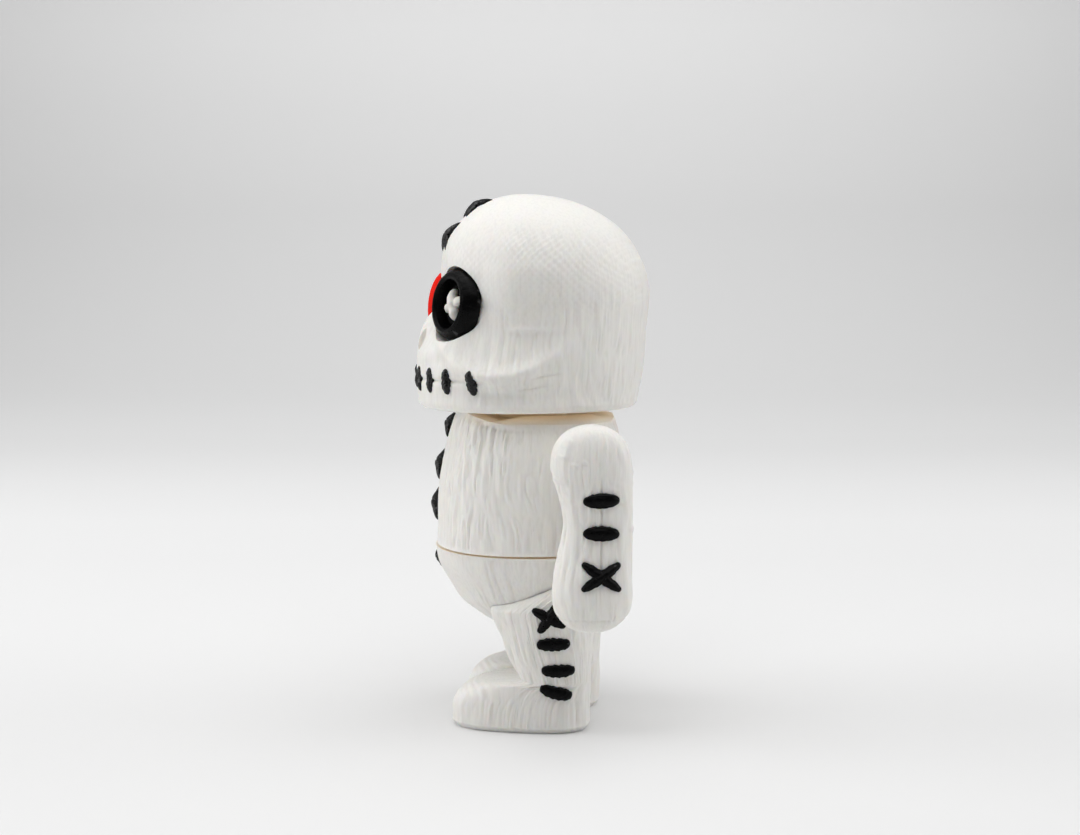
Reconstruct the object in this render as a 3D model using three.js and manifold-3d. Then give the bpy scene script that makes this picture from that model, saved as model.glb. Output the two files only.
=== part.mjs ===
// A voodoo doll: a jointed toy with a skull-like head, button eyes and stitches that stand proud.
// Lengths are in millimetres and angles in degrees. The doll faces -Y, its left side is +X and
// +Z is up. The origin is on the ground, under the middle of the doll.
import * as THREE from 'three';
import { mergeVertices } from 'three/addons/utils/BufferGeometryUtils.js';
import Module from 'manifold-3d';

const manifold = await Module();
manifold.setup();

// Fits
const seatGap = 0.3;
const pinClearance = 0.3;
const waistGap = 0.5;
const neckGap = 0.5;

// Heights of the stacked pieces
const bellyHeight = 24.4;
const pelvisHeight = 22.4;
const chestHeight = 35.9;
const headHeight = 56.3;

// Turns of the pieces at rest, to the doll's left
const headTurn = 8;
const pelvisTurn = -8.5;

// Head
const headWidth = 59;
const headSquareness = 2.2;
const crownForward = 2;
const browFront = 26.6;
const muzzleFront = 30.4;
const headBack = 31.4;
const napeInset = 3.2;
const jawInset = 3;
const browHeight = 28.3;
const domeFullness = 2.1;
const headEdgeRound = 2.2;
const mouthHeight = 7.9;
const mouthGrooveDepth = 0.5;
const mouthGrooveWidth = 0.6;
const mouthGrooveReach = 0.9;
const cheekRidge = { height: 9.2, proud: 0.9, rise: 6, turn: 69, turnReach: 33, reach: 2 };
const temple = { height: 20.5, depth: 1.3, turn: 72, turnReach: 26, reach: 8 };
const mouthTurn = 60;
const noseHeight = 18.3;
const nostril = { width: 3.2, tall: 8, depth: 3, lean: 14, bridge: 1 };

// Button eyes
const eyeSeatTurn = 28.5;
const eyeTurn = 25;
const eyeTilt = 7;
const eyeHeight = 27.3;
const eyeSocketRadius = 9.5;
const eyeSocketDepth = 1.8;
const buttonRadius = 9.5;
const buttonFaceRadius = 7.8;
const buttonStand = 1.9;
const buttonSide = 3.5;
const buttonSunk = 1.5;
const dishRadius = 6;
const dishDepth = 3;
const dishLip = { out: 0.3, down: 0.6 };
const dishCorner = { inward: 0.6, upward: 0.8 };
const buttonFaceDrop = 0.35;
const threadRadius = 1.15;
const threadLength = 10.4;
const threadArch = 0.8;
const threadLift = 0.5;
const threadSlant = 45;
const threadBlunt = 0.45;
const threadFullness = 3;

// Chest
const chestWidth = 49.8;
const chestFront = 25.2;
const chestBack = 24.4;
const chestSquareness = 2.3;
const chestLipInset = 0.985;
const shoulderSquareness = 3.6;
const neckWellDepth = 2.4;
const neckWellInset = 0.6;
const shoulderBossRadius = 6;
const shoulderBossRoot = 8.5;
const shoulderBossLength = 11.7;
const shoulderHeight = 23.3;
const shoulderBack = 15.1;

// Pelvis: the hips lie round the middle of the belly's round, which is its radius above its bottom
const pelvisWidth = 49.2;
const pelvisFront = 25.5;
const pelvisBack = 24;
const pelvisSquareness = 2.2;
const bellyRound = 24.5;
const hipSwivel = 15;

// Arms
const armGap = 0.3;
const armOffset = 26.3;
const armThickness = 12;
const armDepth = 20.4;
const armDrop = 40.4;
const armSquareness = 2.5;
const armMiddle = 0.45;
const armEndThickness = 0.35;
const armEndFullness = 2.3;
const armEdgeFullness = 2.6;
const armTopRound = 11;
const handRound = 9;

// Legs
const legSpread = 1.6;
const legWidth = 18;
const legSquareness = 2.7;
const footFront = 19.3;
const heelBack = 17.3;
const footHeight = 12.9;
const ankleFront = 0.9;
const thighFront = 11.4;
const thighBack = 19;
const thighFlare = 3.5;
const thighReach = 25;
const thighRoundHeight = 35;
const thighRound = 8;
const thighFullness = 2;
const soleInset = 1.3;
const soleEdge = 1.5;

// Pivot pins
const neckPin = { shank: 6, head: 7.4, headLength: 2.4, below: 8, above: 8.5 };
const neckCollarRadius = 9.5;
const waistPin = { shank: 5, head: 6.2, headLength: 1.6, below: 5.5, above: 7 };
const shoulderPin = { shank: 3.2, head: 4.3, headLength: 1.5, below: 7.5, above: 6 };
const hipPin = { shank: 2.8, head: 3.8, headLength: 1.3, below: 5.5, above: 5.5 };
const hipPinSide = 11.2;
const hipPinBack = 5.3;
const pinChamfer = 0.4;

// Stitches: a bar is a length by a width, stands a height above the shell and narrows towards its
// ends to a share of its width. A cross is two bars, each turned from upright by a slant.
const mouthStitch = { length: 6.6, width: 2.9, height: 1, blunt: 0.15, fullness: 1.9 };
const mouthStitchTurns = [8.5, 24.3, 39.2, 57];
const mouthStitchLean = 7;
const foreheadStitch = { length: 10.4, width: 2.7, height: 1.3, blunt: 0.2, fullness: 1.7, slant: 46 };
const foreheadStitchDrops = { upper: 3.5, lower: 10.8 };
const bodyStitch = { width: 2.8, height: 1.5, blunt: 0.25, fullness: 2, slant: 44 };
const chestStitchLengths = { upper: 9.2, middle: 10.6, lower: 10.8 };
const chestStitchDrops = { upper: 4.5, middle: 15.2, lower: 25.9 };
const bellyStitchLength = 8.4;
const bellyStitchDrop = 4.9;
const limbBar = { length: 8.5, width: 3.2, height: 1.2, blunt: 0.3, fullness: 2.4 };
const limbCross = { width: 2.7, height: 1.3, blunt: 0.3, fullness: 2.4 };
const armCross = { ...limbCross, length: 11.4, slant: 54 };
const armBarHeights = { upper: 33.5, lower: 25.3 };
const armCrossHeight = 14.75;
const armStitchBack = 17.4;
const legCross = { ...limbCross, length: 9.2, slant: 47 };
const legCrossHeight = 30.2;
const legBarHeights = { upper: 23.7, middle: 17.2, lower: 11.2 };
const legStitchBacks = { cross: 8, upper: 9, middle: 10.1, lower: 9.4 };
const legCrossTurn = 15;
const lowestBarTurn = -16;
const crosswise = 90;
const upperStrand = 1.15;
const pressStep = 1.5;

// Fineness
const headSides = 38;
const bodySides = 32;
const limbSides = 20;
const buttonSides = 24;
const pinSides = 16;
const threadSides = 6;
const pitSides = 10;
const stitchSteps = 6;
const swivelSteps = 2;

// Levels that follow from the sizes above
const waistLevel = bellyHeight + pelvisHeight;
const chestBottom = waistLevel + waistGap;
const chestTop = chestBottom + chestHeight;
const headBottom = chestTop + neckGap;
const neckWellLevel = chestTop - neckWellDepth;
const shoulderLevel = chestBottom + shoulderHeight;
const armBottom = shoulderLevel - armDrop;

const radians = THREE.MathUtils.degToRad;
const up = new THREE.Vector3(0, 0, 1);

const shellWhite = new THREE.MeshStandardMaterial({ color: 0xeceae6, roughness: 0.5, metalness: 0 });
const threadWhite = new THREE.MeshStandardMaterial({ color: 0xe9e7e2, roughness: 0.5, metalness: 0 });
const stitchBlack = new THREE.MeshStandardMaterial({ color: 0x0b0b0c, roughness: 0.38, metalness: 0 });
const buttonRed = new THREE.MeshStandardMaterial({ color: 0xd80a05, roughness: 0.4, metalness: 0 });
const pinWhite = new THREE.MeshStandardMaterial({ color: 0xdedad2, roughness: 0.55, metalness: 0 });

// Curves and geometry

// A smooth curve through [place, value] pairs, level before the first and after the last.
function through(...pairs) {
  const slope = (i) => {
    const low = pairs[Math.max(i - 1, 0)];
    const high = pairs[Math.min(i + 1, pairs.length - 1)];
    return (high[1] - low[1]) / (high[0] - low[0]);
  };
  return (place) => {
    if (place <= pairs[0][0]) return pairs[0][1];
    const next = pairs.findIndex((pair) => pair[0] >= place);
    if (next < 0) return pairs[pairs.length - 1][1];
    const [x0, y0] = pairs[next - 1];
    const [x1, y1] = pairs[next];
    const span = x1 - x0;
    const s = (place - x0) / span;
    const bend0 = (2 * s ** 3 - 3 * s ** 2 + 1) * y0 + (s ** 3 - 2 * s ** 2 + s) * span * slope(next - 1);
    const bend1 = (3 * s ** 2 - 2 * s ** 3) * y1 + (s ** 3 - s ** 2) * span * slope(next);
    return bend0 + bend1;
  };
}

const swell = (distance, reach) => Math.exp(-((distance / reach) ** 2));
const roundOff = (part, fullness) => (1 - Math.min(Math.abs(part), 1) ** fullness) ** (1 / fullness);
const range = (count) => Array.from({ length: count }, (_, i) => i);
const fromFront = (turn) => Math.abs(turn > 180 ? turn - 360 : turn);

// A point on a rounded section. Turn 0 is the front, and turns grow towards the doll's left.
function sectionPoint(section, turn, height) {
  const side = Math.sin(radians(turn));
  const ahead = Math.cos(radians(turn));
  const power = 2 / section.squareness;
  const across = Math.sign(side) * Math.abs(side) ** power * (side > 0 ? section.left : section.right);
  const along = -Math.sign(ahead) * Math.abs(ahead) ** power * (ahead > 0 ? section.front : section.back);
  return new THREE.Vector3(section.x + across, section.y + along, height);
}

// A closed skin over rows of points stacked one above the other. A row of one point is a pole,
// and any other end row is closed by a fan.
function skin(rows) {
  const positions = rows.flat().flatMap((point) => point.toArray());
  const starts = rows.map((_, i) => rows.slice(0, i).reduce((sum, row) => sum + row.length, 0));
  const faces = [];
  const fan = (row, pole, upward) => {
    const count = rows[row].length;
    for (let j = 0; j < count; j += 1) {
      const here = starts[row] + j;
      const next = starts[row] + ((j + 1) % count);
      faces.push(...(upward ? [pole, here, next] : [pole, next, here]));
    }
  };
  const end = (row, inner, upward) => {
    if (rows[row].length === 1) {
      fan(inner, starts[row], upward);
      return;
    }
    const middle = rows[row].reduce((sum, point) => sum.add(point), new THREE.Vector3());
    positions.push(...middle.divideScalar(rows[row].length).toArray());
    fan(row, positions.length / 3 - 1, upward);
  };
  for (let i = 0; i < rows.length - 1; i += 1) {
    const count = rows[i].length;
    if (count === 1 || rows[i + 1].length === 1) continue;
    for (let j = 0; j < count; j += 1) {
      const next = (j + 1) % count;
      const [a, b] = [starts[i] + j, starts[i] + next];
      const [c, d] = [starts[i + 1] + next, starts[i + 1] + j];
      faces.push(a, b, c, a, c, d);
    }
  }
  end(0, 1, false);
  end(rows.length - 1, rows.length - 2, true);
  const geometry = new THREE.BufferGeometry();
  geometry.setAttribute('position', new THREE.Float32BufferAttribute(positions, 3));
  geometry.setIndex(faces);
  return geometry;
}

const ring = (sides, at) => range(sides).map((i) => at((i * 360) / sides));

function solidOf(geometry) {
  const bare = geometry.clone();
  bare.deleteAttribute('normal');
  bare.deleteAttribute('uv');
  const merged = mergeVertices(bare, 1e-4);
  const corners = merged.index.array;
  const whole = range(corners.length / 3)
    .map((i) => [corners[3 * i], corners[3 * i + 1], corners[3 * i + 2]])
    .filter(([a, b, c]) => a !== b && b !== c && c !== a);
  return new manifold.Manifold(
    new manifold.Mesh({
      numProp: 3,
      vertProperties: new Float32Array(merged.attributes.position.array),
      triVerts: new Uint32Array(whole.flat()),
    }),
  );
}

function geometryOf(solid) {
  const mesh = solid.getMesh();
  const geometry = new THREE.BufferGeometry();
  geometry.setAttribute('position', new THREE.BufferAttribute(mesh.vertProperties, 3));
  geometry.setIndex(new THREE.BufferAttribute(mesh.triVerts, 1));
  geometry.computeVertexNormals();
  return geometry;
}

function cut(geometry, tools) {
  return geometryOf(tools.reduce((solid, tool) => solid.subtract(solidOf(tool)), solidOf(geometry)));
}

function join(geometries) {
  const solids = geometries.map(solidOf);
  return geometryOf(solids.slice(1).reduce((sum, solid) => sum.add(solid), solids[0]));
}

function node(name, geometry, material) {
  const mesh = new THREE.Mesh(geometry, material);
  mesh.name = name;
  return mesh;
}

// A frame at a point with its Z axis along a direction.
function frameAt(point, direction) {
  const turn = new THREE.Quaternion().setFromUnitVectors(up, direction.clone().normalize());
  return new THREE.Matrix4().compose(point, turn, new THREE.Vector3(1, 1, 1));
}

// Pivot pins

// A pin with a head at each end, about Z. It reaches below and above the joint plane at zero.
function pinGeometry(pin, room = 0) {
  const flare = pin.head - pin.shank;
  const low = -pin.below - room;
  const high = pin.above + room;
  const head = pin.head + room;
  const shank = pin.shank + room;
  const neckLow = low + pin.headLength + 2 * room;
  const neckHigh = high - pin.headLength - 2 * room;
  const profile = [
    [0, low],
    [head - pinChamfer, low],
    [head, low + pinChamfer],
    [head, neckLow],
    [shank, neckLow + flare],
    [shank, neckHigh - flare],
    [head, neckHigh],
    [head, high - pinChamfer],
    [head - pinChamfer, high],
    [0, high],
  ];
  const points = profile.map(([radius, height]) => new THREE.Vector2(radius, height));
  return new THREE.LatheGeometry(points, pinSides).rotateX(Math.PI / 2);
}

const pinSocket = (pin) => pinGeometry(pin, pinClearance);

// Stitches

// The place where a line through a point, along a direction, first meets a shell from outside.
function pressed(shell, point, outward) {
  const reach = headWidth;
  const start = point.clone().addScaledVector(outward, reach);
  const ray = new THREE.Raycaster(start, outward.clone().negate(), 0, 2 * reach);
  return ray.intersectObject(shell)[0].point;
}

// The point of a shell under a place beside it, with the shell's outward and upright directions.
function spotOn(shell, place, outward) {
  const middle = pressed(shell, place, outward);
  const side = new THREE.Vector3().crossVectors(up, outward).normalize();
  const rise = new THREE.Vector3().crossVectors(outward, side).normalize();
  const near = (direction, sign) =>
    pressed(shell, place.clone().addScaledVector(direction, sign * pressStep), outward);
  const across = near(side, 1).sub(near(side, -1)).normalize();
  const upright = near(rise, 1).sub(near(rise, -1)).normalize();
  return { middle, normal: new THREE.Vector3().crossVectors(across, upright).normalize(), upright };
}

// The upper side of a bar's cross-section, as [side, rise] shares of its half width and height.
const barOutline = [[-1, 0], [-0.66, 0.72], [0, 1], [0.66, 0.72], [1, 0]];

// A bar that swells to its middle and follows the shell, turned from upright by an angle.
function barGeometry(shell, spot, bar, turn) {
  const along = spot.upright.clone().applyAxisAngle(spot.normal, radians(turn));
  const across = new THREE.Vector3().crossVectors(along, spot.normal).normalize();
  const rows = range(stitchSteps + 1).map((i) => {
    const part = (2 * i) / stitchSteps - 1;
    const full = bar.blunt + (1 - bar.blunt) * roundOff(part, bar.fullness);
    return barOutline.map(([side, rise]) => {
      const flat = spot.middle
        .clone()
        .addScaledVector(along, (part * bar.length) / 2)
        .addScaledVector(across, (side * full * bar.width) / 2);
      const lift = seatGap + rise * full * bar.height;
      return pressed(shell, flat, spot.normal).addScaledVector(spot.normal, lift);
    });
  });
  return skin(rows);
}

function crossGeometry(shell, spot, bar, turn = 0) {
  const upper = { ...bar, height: bar.height * upperStrand };
  return join([
    barGeometry(shell, spot, bar, turn + bar.slant),
    barGeometry(shell, spot, upper, turn - bar.slant),
  ]);
}

// Head

const headDrop = (height) => 1 - Math.min(height / browHeight, 1);
const muzzleShape = through([0, 0], [0.06, 0.06], [0.18, 0.6], [0.34, 0.95], [0.52, 1.04], [1, 0.94]);
const napeShape = through([0, 0], [0.42, 0.33], [0.67, 0.6], [1, 1]);
const jawShape = through([0, 0], [0.5, 0.35], [1, 1]);
const eyeSide = (headWidth / 2) * Math.sin(radians(eyeSeatTurn)) ** (2 / headSquareness);

function headRelief(point, turn, height) {
  const around = fromFront(turn);
  const fromEye = Math.hypot(Math.abs(point.x) - eyeSide, height - eyeHeight);
  const socket = around < 90 ? eyeSocketDepth * swell(fromEye, eyeSocketRadius) : 0;
  const aside = (around - cheekRidge.turn) / cheekRidge.turnReach;
  const ridgeLine = cheekRidge.height + cheekRidge.rise * aside ** 2;
  const ridge = cheekRidge.proud * swell(height - ridgeLine, cheekRidge.reach) * swell(aside, 1);
  const hollow = temple.depth
    * swell(around - temple.turn, temple.turnReach)
    * swell(height - temple.height, temple.reach);
  const fromMouth = height - mouthHeight;
  const groove = around < mouthTurn ? mouthGrooveDepth * swell(fromMouth, mouthGrooveWidth) : 0;
  return ridge - socket - hollow - groove;
}

function headPoint(turn, height) {
  const drop = headDrop(height);
  const dome = roundOff(Math.max(height - browHeight, 0) / (headHeight - browHeight), domeFullness);
  const low = Math.max(headEdgeRound - height, 0) / headEdgeRound;
  const edge = headEdgeRound * (1 - Math.sqrt(1 - low ** 2));
  const across = headWidth / 2 - jawInset * jawShape(drop);
  const front = browFront + (muzzleFront - browFront) * muzzleShape(drop) - crownForward;
  const back = headBack - napeInset * napeShape(drop) + crownForward;
  const section = {
    x: 0,
    y: -crownForward,
    front: front * dome - edge,
    back: back * dome - edge,
    left: across * dome - edge,
    right: across * dome - edge,
    squareness: headSquareness,
  };
  const point = sectionPoint(section, turn, headBottom + height);
  const outward = new THREE.Vector3(Math.sin(radians(turn)), -Math.cos(radians(turn)), 0);
  return point.addScaledVector(outward, headRelief(point, turn, height));
}

function headSkin() {
  const edgeHeights = [0, 0.16, 0.5, 1].map((share) => share * headEdgeRound);
  const chinHeight = (headEdgeRound + mouthHeight) / 2;
  const mouthHeights = [-1, 0, 1].map((share) => mouthHeight + share * mouthGrooveReach);
  const faceHeights = [0.36, 0.44, 0.54, 0.66, 0.78, 0.9].map((share) => share * browHeight);
  const domeShares = [0, 0.18, 0.36, 0.53, 0.68, 0.81, 0.91, 0.975];
  const domeHeights = domeShares.map((share) => browHeight + share * (headHeight - browHeight));
  const heights = [...edgeHeights, chinHeight, ...mouthHeights, ...faceHeights, ...domeHeights];
  const rows = heights.map((height) => ring(headSides, (turn) => headPoint(turn, height)));
  return skin([...rows, [new THREE.Vector3(0, -crownForward, headBottom + headHeight)]]);
}

function nostrilGeometry(side) {
  const pit = new THREE.SphereGeometry(1, pitSides, pitSides);
  pit.scale(nostril.width / 2, nostril.depth, nostril.tall / 2);
  pit.rotateY(radians(side * nostril.lean));
  const aside = (side * (nostril.bridge + nostril.width)) / 2;
  return pit.translate(aside, headPoint(0, noseHeight).y, headBottom + noseHeight);
}

// The frame of an eye, at the middle of its button's face and with Z straight out of it.
function eyeFrame(side) {
  const turn = radians(eyeTurn);
  const tilt = radians(eyeTilt);
  const outward = new THREE.Vector3(
    side * Math.sin(turn) * Math.cos(tilt),
    -Math.cos(turn) * Math.cos(tilt),
    Math.sin(tilt),
  );
  const seat = headPoint(side * eyeSeatTurn, eyeHeight);
  return frameAt(seat.addScaledVector(outward, buttonStand), outward);
}

function buttonGeometry() {
  const profile = [
    [0, -dishDepth],
    [dishRadius - dishCorner.inward, -dishDepth],
    [dishRadius, -dishDepth + dishCorner.upward],
    [dishRadius + dishLip.out, -dishLip.down],
    [(dishRadius + buttonFaceRadius) / 2, 0],
    [buttonFaceRadius, -buttonFaceDrop],
    [buttonRadius, -buttonSide],
    [buttonRadius, -buttonSide - buttonSunk],
    [0, -buttonSide - buttonSunk],
  ];
  const points = profile.map(([radius, height]) => new THREE.Vector2(radius, height));
  return new THREE.LatheGeometry(points.reverse(), buttonSides).rotateX(Math.PI / 2);
}

// The room for a button, open in front of it.
function eyeSeatGeometry() {
  const depth = buttonSide + buttonSunk + seatGap;
  const ahead = buttonRadius;
  const radius = buttonRadius + seatGap;
  const seat = new THREE.CylinderGeometry(radius, radius, depth + ahead, buttonSides);
  return seat.rotateX(Math.PI / 2).translate(0, 0, (ahead - depth) / 2);
}

// A cross of two arched threads, lying in the button's dish.
function threadGeometry() {
  const half = threadLength / 2 - threadRadius;
  const strand = (turn, arching) => {
    const rows = range(stitchSteps + 1).map((i) => {
      const part = (2 * i) / stitchSteps - 1;
      const radius = threadRadius * (threadBlunt + (1 - threadBlunt) * roundOff(part, threadFullness));
      const arch = arching * (1 - part ** 2);
      const centre = -dishDepth + seatGap + threadRadius + arch;
      return ring(threadSides, (angle) =>
        new THREE.Vector3(
          part * half,
          radius * Math.sin(radians(angle)),
          centre + radius * Math.cos(radians(angle)),
        ).applyAxisAngle(up, radians(turn)),
      );
    });
    return skin(rows.reverse());
  };
  return join([strand(threadSlant, threadArch), strand(-threadSlant, threadArch + threadLift)]);
}

function makeHead() {
  const group = new THREE.Group();
  const shell = new THREE.Mesh(headSkin(), shellWhite);
  const socket = pinSocket(neckPin).translate(0, 0, headBottom);
  const eyes = { left: eyeFrame(1), right: eyeFrame(-1) };
  const seats = Object.values(eyes).map((frame) => eyeSeatGeometry().applyMatrix4(frame));
  const carved = cut(shell.geometry, [socket, ...seats, nostrilGeometry(1), nostrilGeometry(-1)]);
  group.add(node('head_shell', carved, shellWhite));
  const buttonColours = { left: stitchBlack, right: buttonRed };
  for (const [side, frame] of Object.entries(eyes)) {
    group.add(node(`${side}_eye_button`, buttonGeometry().applyMatrix4(frame), buttonColours[side]));
    group.add(node(`${side}_eye_thread`, threadGeometry().applyMatrix4(frame), threadWhite));
  }
  for (const [name, drop] of Object.entries(foreheadStitchDrops)) {
    const height = headHeight - drop;
    const outward = new THREE.Vector3(0, -1, height / headHeight).normalize();
    const spot = spotOn(shell, headPoint(0, height), outward);
    const stitch = crossGeometry(shell, spot, foreheadStitch);
    group.add(node(`forehead_stitch_${name}`, stitch, stitchBlack));
  }
  const turns = [...mouthStitchTurns.map((turn) => -turn).reverse(), ...mouthStitchTurns];
  turns.forEach((turn, i) => {
    const outward = new THREE.Vector3(Math.sin(radians(turn)), -Math.cos(radians(turn)), 0);
    const spot = spotOn(shell, headPoint(turn, mouthHeight), outward);
    const stitch = barGeometry(shell, spot, mouthStitch, Math.sign(turn) * mouthStitchLean);
    group.add(node(`mouth_stitch_${i + 1}`, stitch, stitchBlack));
  });
  group.rotation.z = radians(headTurn);
  return group;
}

// Chest

const chestFrontShape = through(
  [0, 1], [0.1, 0.998], [0.43, 0.98], [0.73, 0.905], [0.93, 0.82], [1, 0.77],
);
const chestBackShape = through([0, 0.98], [0.4, 1], [0.8, 0.97], [1, 0.9]);
const chestSideShape = through([0, 0.995], [0.4, 1], [0.75, 0.98], [0.93, 0.94], [1, 0.9]);
const shoulderSquareShape = through([0, 0], [0.3, 0.35], [0.6, 1], [0.85, 1], [1, 0.6]);
const rimDrop = through([0, 0], [30, 0.2], [50, 1.3], [68, 2.3], [100, 3.1], [135, 2.9], [180, 1.8]);
const shoulderRise = through([62, 0], [84, 2], [105, 2.5], [140, 2.2], [165, 0.6], [180, 0.2]);

// Rows of the chest's top, as shares of the rim's size and of the shoulders' rise.
const chestTopRows = [{ inset: 0.93, rise: 0.6 }, { inset: 0.8, rise: 1 }];

// Share 0 is the chest's bottom and 1 its rim.
function chestPoint(turn, share, inset = 1) {
  const around = fromFront(turn);
  const squarer = (shoulderSquareness - chestSquareness) * shoulderSquareShape(share);
  const section = {
    x: 0,
    y: 0,
    front: chestFront * chestFrontShape(share) * inset,
    back: chestBack * chestBackShape(share) * inset,
    left: (chestWidth / 2) * chestSideShape(share) * inset,
    right: (chestWidth / 2) * chestSideShape(share) * inset,
    squareness: chestSquareness + (around < 90 ? 0 : squarer),
  };
  return sectionPoint(section, turn, chestBottom + share * (chestHeight - rimDrop(around)));
}

function chestSkin() {
  const shares = [0.01, 0.15, 0.35, 0.55, 0.75, 0.9, 0.97, 1];
  const walls = shares.map((share) => ring(bodySides, (turn) => chestPoint(turn, share)));
  const lip = ring(bodySides, (turn) => chestPoint(turn, 0, chestLipInset));
  const top = chestTopRows.map(({ inset, rise }) =>
    ring(bodySides, (turn) => {
      const point = chestPoint(turn, 1, inset);
      const level = point.z + rise * shoulderRise(fromFront(turn));
      return point.setZ(Math.max(level, neckWellLevel));
    }),
  );
  const well = ring(bodySides, (turn) => chestPoint(turn, 1, neckWellInset).setZ(neckWellLevel));
  return skin([lip, ...walls, ...top, well]);
}

// A boss that carries the shoulder's pin, wider at its root inside the chest.
function shoulderBossGeometry(side) {
  const boss = new THREE.CylinderGeometry(
    shoulderBossRadius,
    shoulderBossRoot,
    shoulderBossLength,
    pinSides,
  );
  const middle = armOffset - armGap - shoulderBossLength / 2;
  return boss.rotateZ((-side * Math.PI) / 2).translate(side * middle, shoulderBack, shoulderLevel);
}

// The frame of a shoulder, on the arm's inner face with Z out along the pin.
const shoulderFrame = (side) =>
  frameAt(
    new THREE.Vector3(side * (armOffset - armGap / 2), shoulderBack, shoulderLevel),
    new THREE.Vector3(side, 0, 0),
  );

function makeChest() {
  const group = new THREE.Group();
  const shell = new THREE.Mesh(chestSkin(), shellWhite);
  const body = join([shell.geometry, shoulderBossGeometry(1), shoulderBossGeometry(-1)]);
  const sockets = [
    pinSocket(neckPin).translate(0, 0, headBottom),
    pinSocket(waistPin).translate(0, 0, chestBottom),
    ...[1, -1].map((side) => pinSocket(shoulderPin).applyMatrix4(shoulderFrame(side))),
  ];
  group.add(node('chest_shell', cut(body, sockets), shellWhite));
  const collarHeight = headBottom - neckWellLevel - 2 * seatGap;
  const collar = new THREE.CylinderGeometry(
    neckCollarRadius,
    neckCollarRadius,
    collarHeight,
    bodySides,
  );
  collar.rotateX(Math.PI / 2).translate(0, 0, neckWellLevel + seatGap + collarHeight / 2);
  const post = join([pinGeometry(neckPin).translate(0, 0, headBottom), collar]);
  group.add(node('neck_pin', post, pinWhite));
  for (const [name, drop] of Object.entries(chestStitchDrops)) {
    const spot = spotOn(shell, chestPoint(0, 1 - drop / chestHeight), new THREE.Vector3(0, -1, 0));
    const bar = { ...bodyStitch, length: chestStitchLengths[name] };
    group.add(node(`chest_stitch_${name}`, crossGeometry(shell, spot, bar), stitchBlack));
  }
  for (const [name, side] of [['left', 1], ['right', -1]]) {
    const pin = pinGeometry(shoulderPin).applyMatrix4(shoulderFrame(side));
    group.add(node(`${name}_shoulder_pin`, pin, pinWhite));
  }
  return group;
}

// Pelvis

// The belly's size at shares of the way up, as shares of its size at the waist.
const bellyShape = through(
  [0, 0.22], [0.05, 0.365], [0.11, 0.455], [0.2, 0.565], [0.36, 0.73], [0.57, 0.85], [0.8, 0.96], [1, 1],
);

// Share 0 is the bottom of the belly and 1 the waist.
function pelvisPoint(turn, share, grown) {
  const full = bellyShape(share);
  const section = {
    x: 0,
    y: 0,
    front: pelvisFront * full + grown,
    back: pelvisBack * full + grown,
    left: (pelvisWidth / 2) * full + grown,
    right: (pelvisWidth / 2) * full + grown,
    squareness: pelvisSquareness,
  };
  return sectionPoint(section, turn, bellyHeight - grown + share * pelvisHeight);
}

function pelvisSkin(grown = 0) {
  const shares = [0, 0.05, 0.12, 0.22, 0.36, 0.55, 0.77, 0.93, 1];
  return skin(shares.map((share) => ring(bodySides, (turn) => pelvisPoint(turn, share, grown))));
}

// The frame of a hip, on the belly with Z out of it, along a line from the middle of its round.
function hipFrame(side) {
  const drop = Math.sqrt(bellyRound ** 2 - hipPinSide ** 2 - hipPinBack ** 2);
  const outward = new THREE.Vector3(side * hipPinSide, hipPinBack, -drop).normalize();
  const middle = new THREE.Vector3(0, 0, bellyHeight + bellyRound);
  return frameAt(pressed(new THREE.Mesh(pelvisSkin()), middle, outward), outward);
}

// The belly at steps of the left leg's swivel, as the leg sees it and grown by the seat gap.
function bellySweep() {
  const hip = hipFrame(1);
  return range(swivelSteps + 1).map((i) => {
    const turn = new THREE.Matrix4().makeRotationZ(radians((i * hipSwivel) / swivelSteps));
    return pelvisSkin(seatGap).applyMatrix4(hip.clone().multiply(turn).multiply(hip.clone().invert()));
  });
}

function makePelvis() {
  const group = new THREE.Group();
  const shell = new THREE.Mesh(pelvisSkin(), shellWhite);
  const sockets = [1, -1].map((side) => pinSocket(hipPin).applyMatrix4(hipFrame(side)));
  const waistSocket = pinSocket(waistPin).translate(0, 0, chestBottom);
  group.add(node('pelvis_shell', cut(shell.geometry, [waistSocket, ...sockets]), shellWhite));
  group.add(node('waist_pin', pinGeometry(waistPin).translate(0, 0, chestBottom), pinWhite));
  const place = pelvisPoint(0, 1 - bellyStitchDrop / pelvisHeight, 0);
  const spot = spotOn(shell, place, new THREE.Vector3(0, -1, 0));
  const bar = { ...bodyStitch, length: bellyStitchLength };
  group.add(node('belly_stitch', crossGeometry(shell, spot, bar), stitchBlack));
  for (const [name, side] of [['left', 1], ['right', -1]]) {
    group.add(node(`${name}_hip_pin`, pinGeometry(hipPin).applyMatrix4(hipFrame(side)), pinWhite));
  }
  return group;
}

// Arms: share 0 is the hand's end and 1 the top

const armFrontShape = through(
  [0, 0.98], [0.12, 0.98], [0.23, 0.98], [0.36, 0.925], [0.5, 0.85], [0.62, 0.885], [0.8, 1], [1, 1.03],
);
const armThicknessShape = through(
  [0, 0.96], [0.22, 1], [0.36, 0.9], [0.5, 0.86], [0.62, 0.91], [0.8, 1], [1, 1],
);

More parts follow.
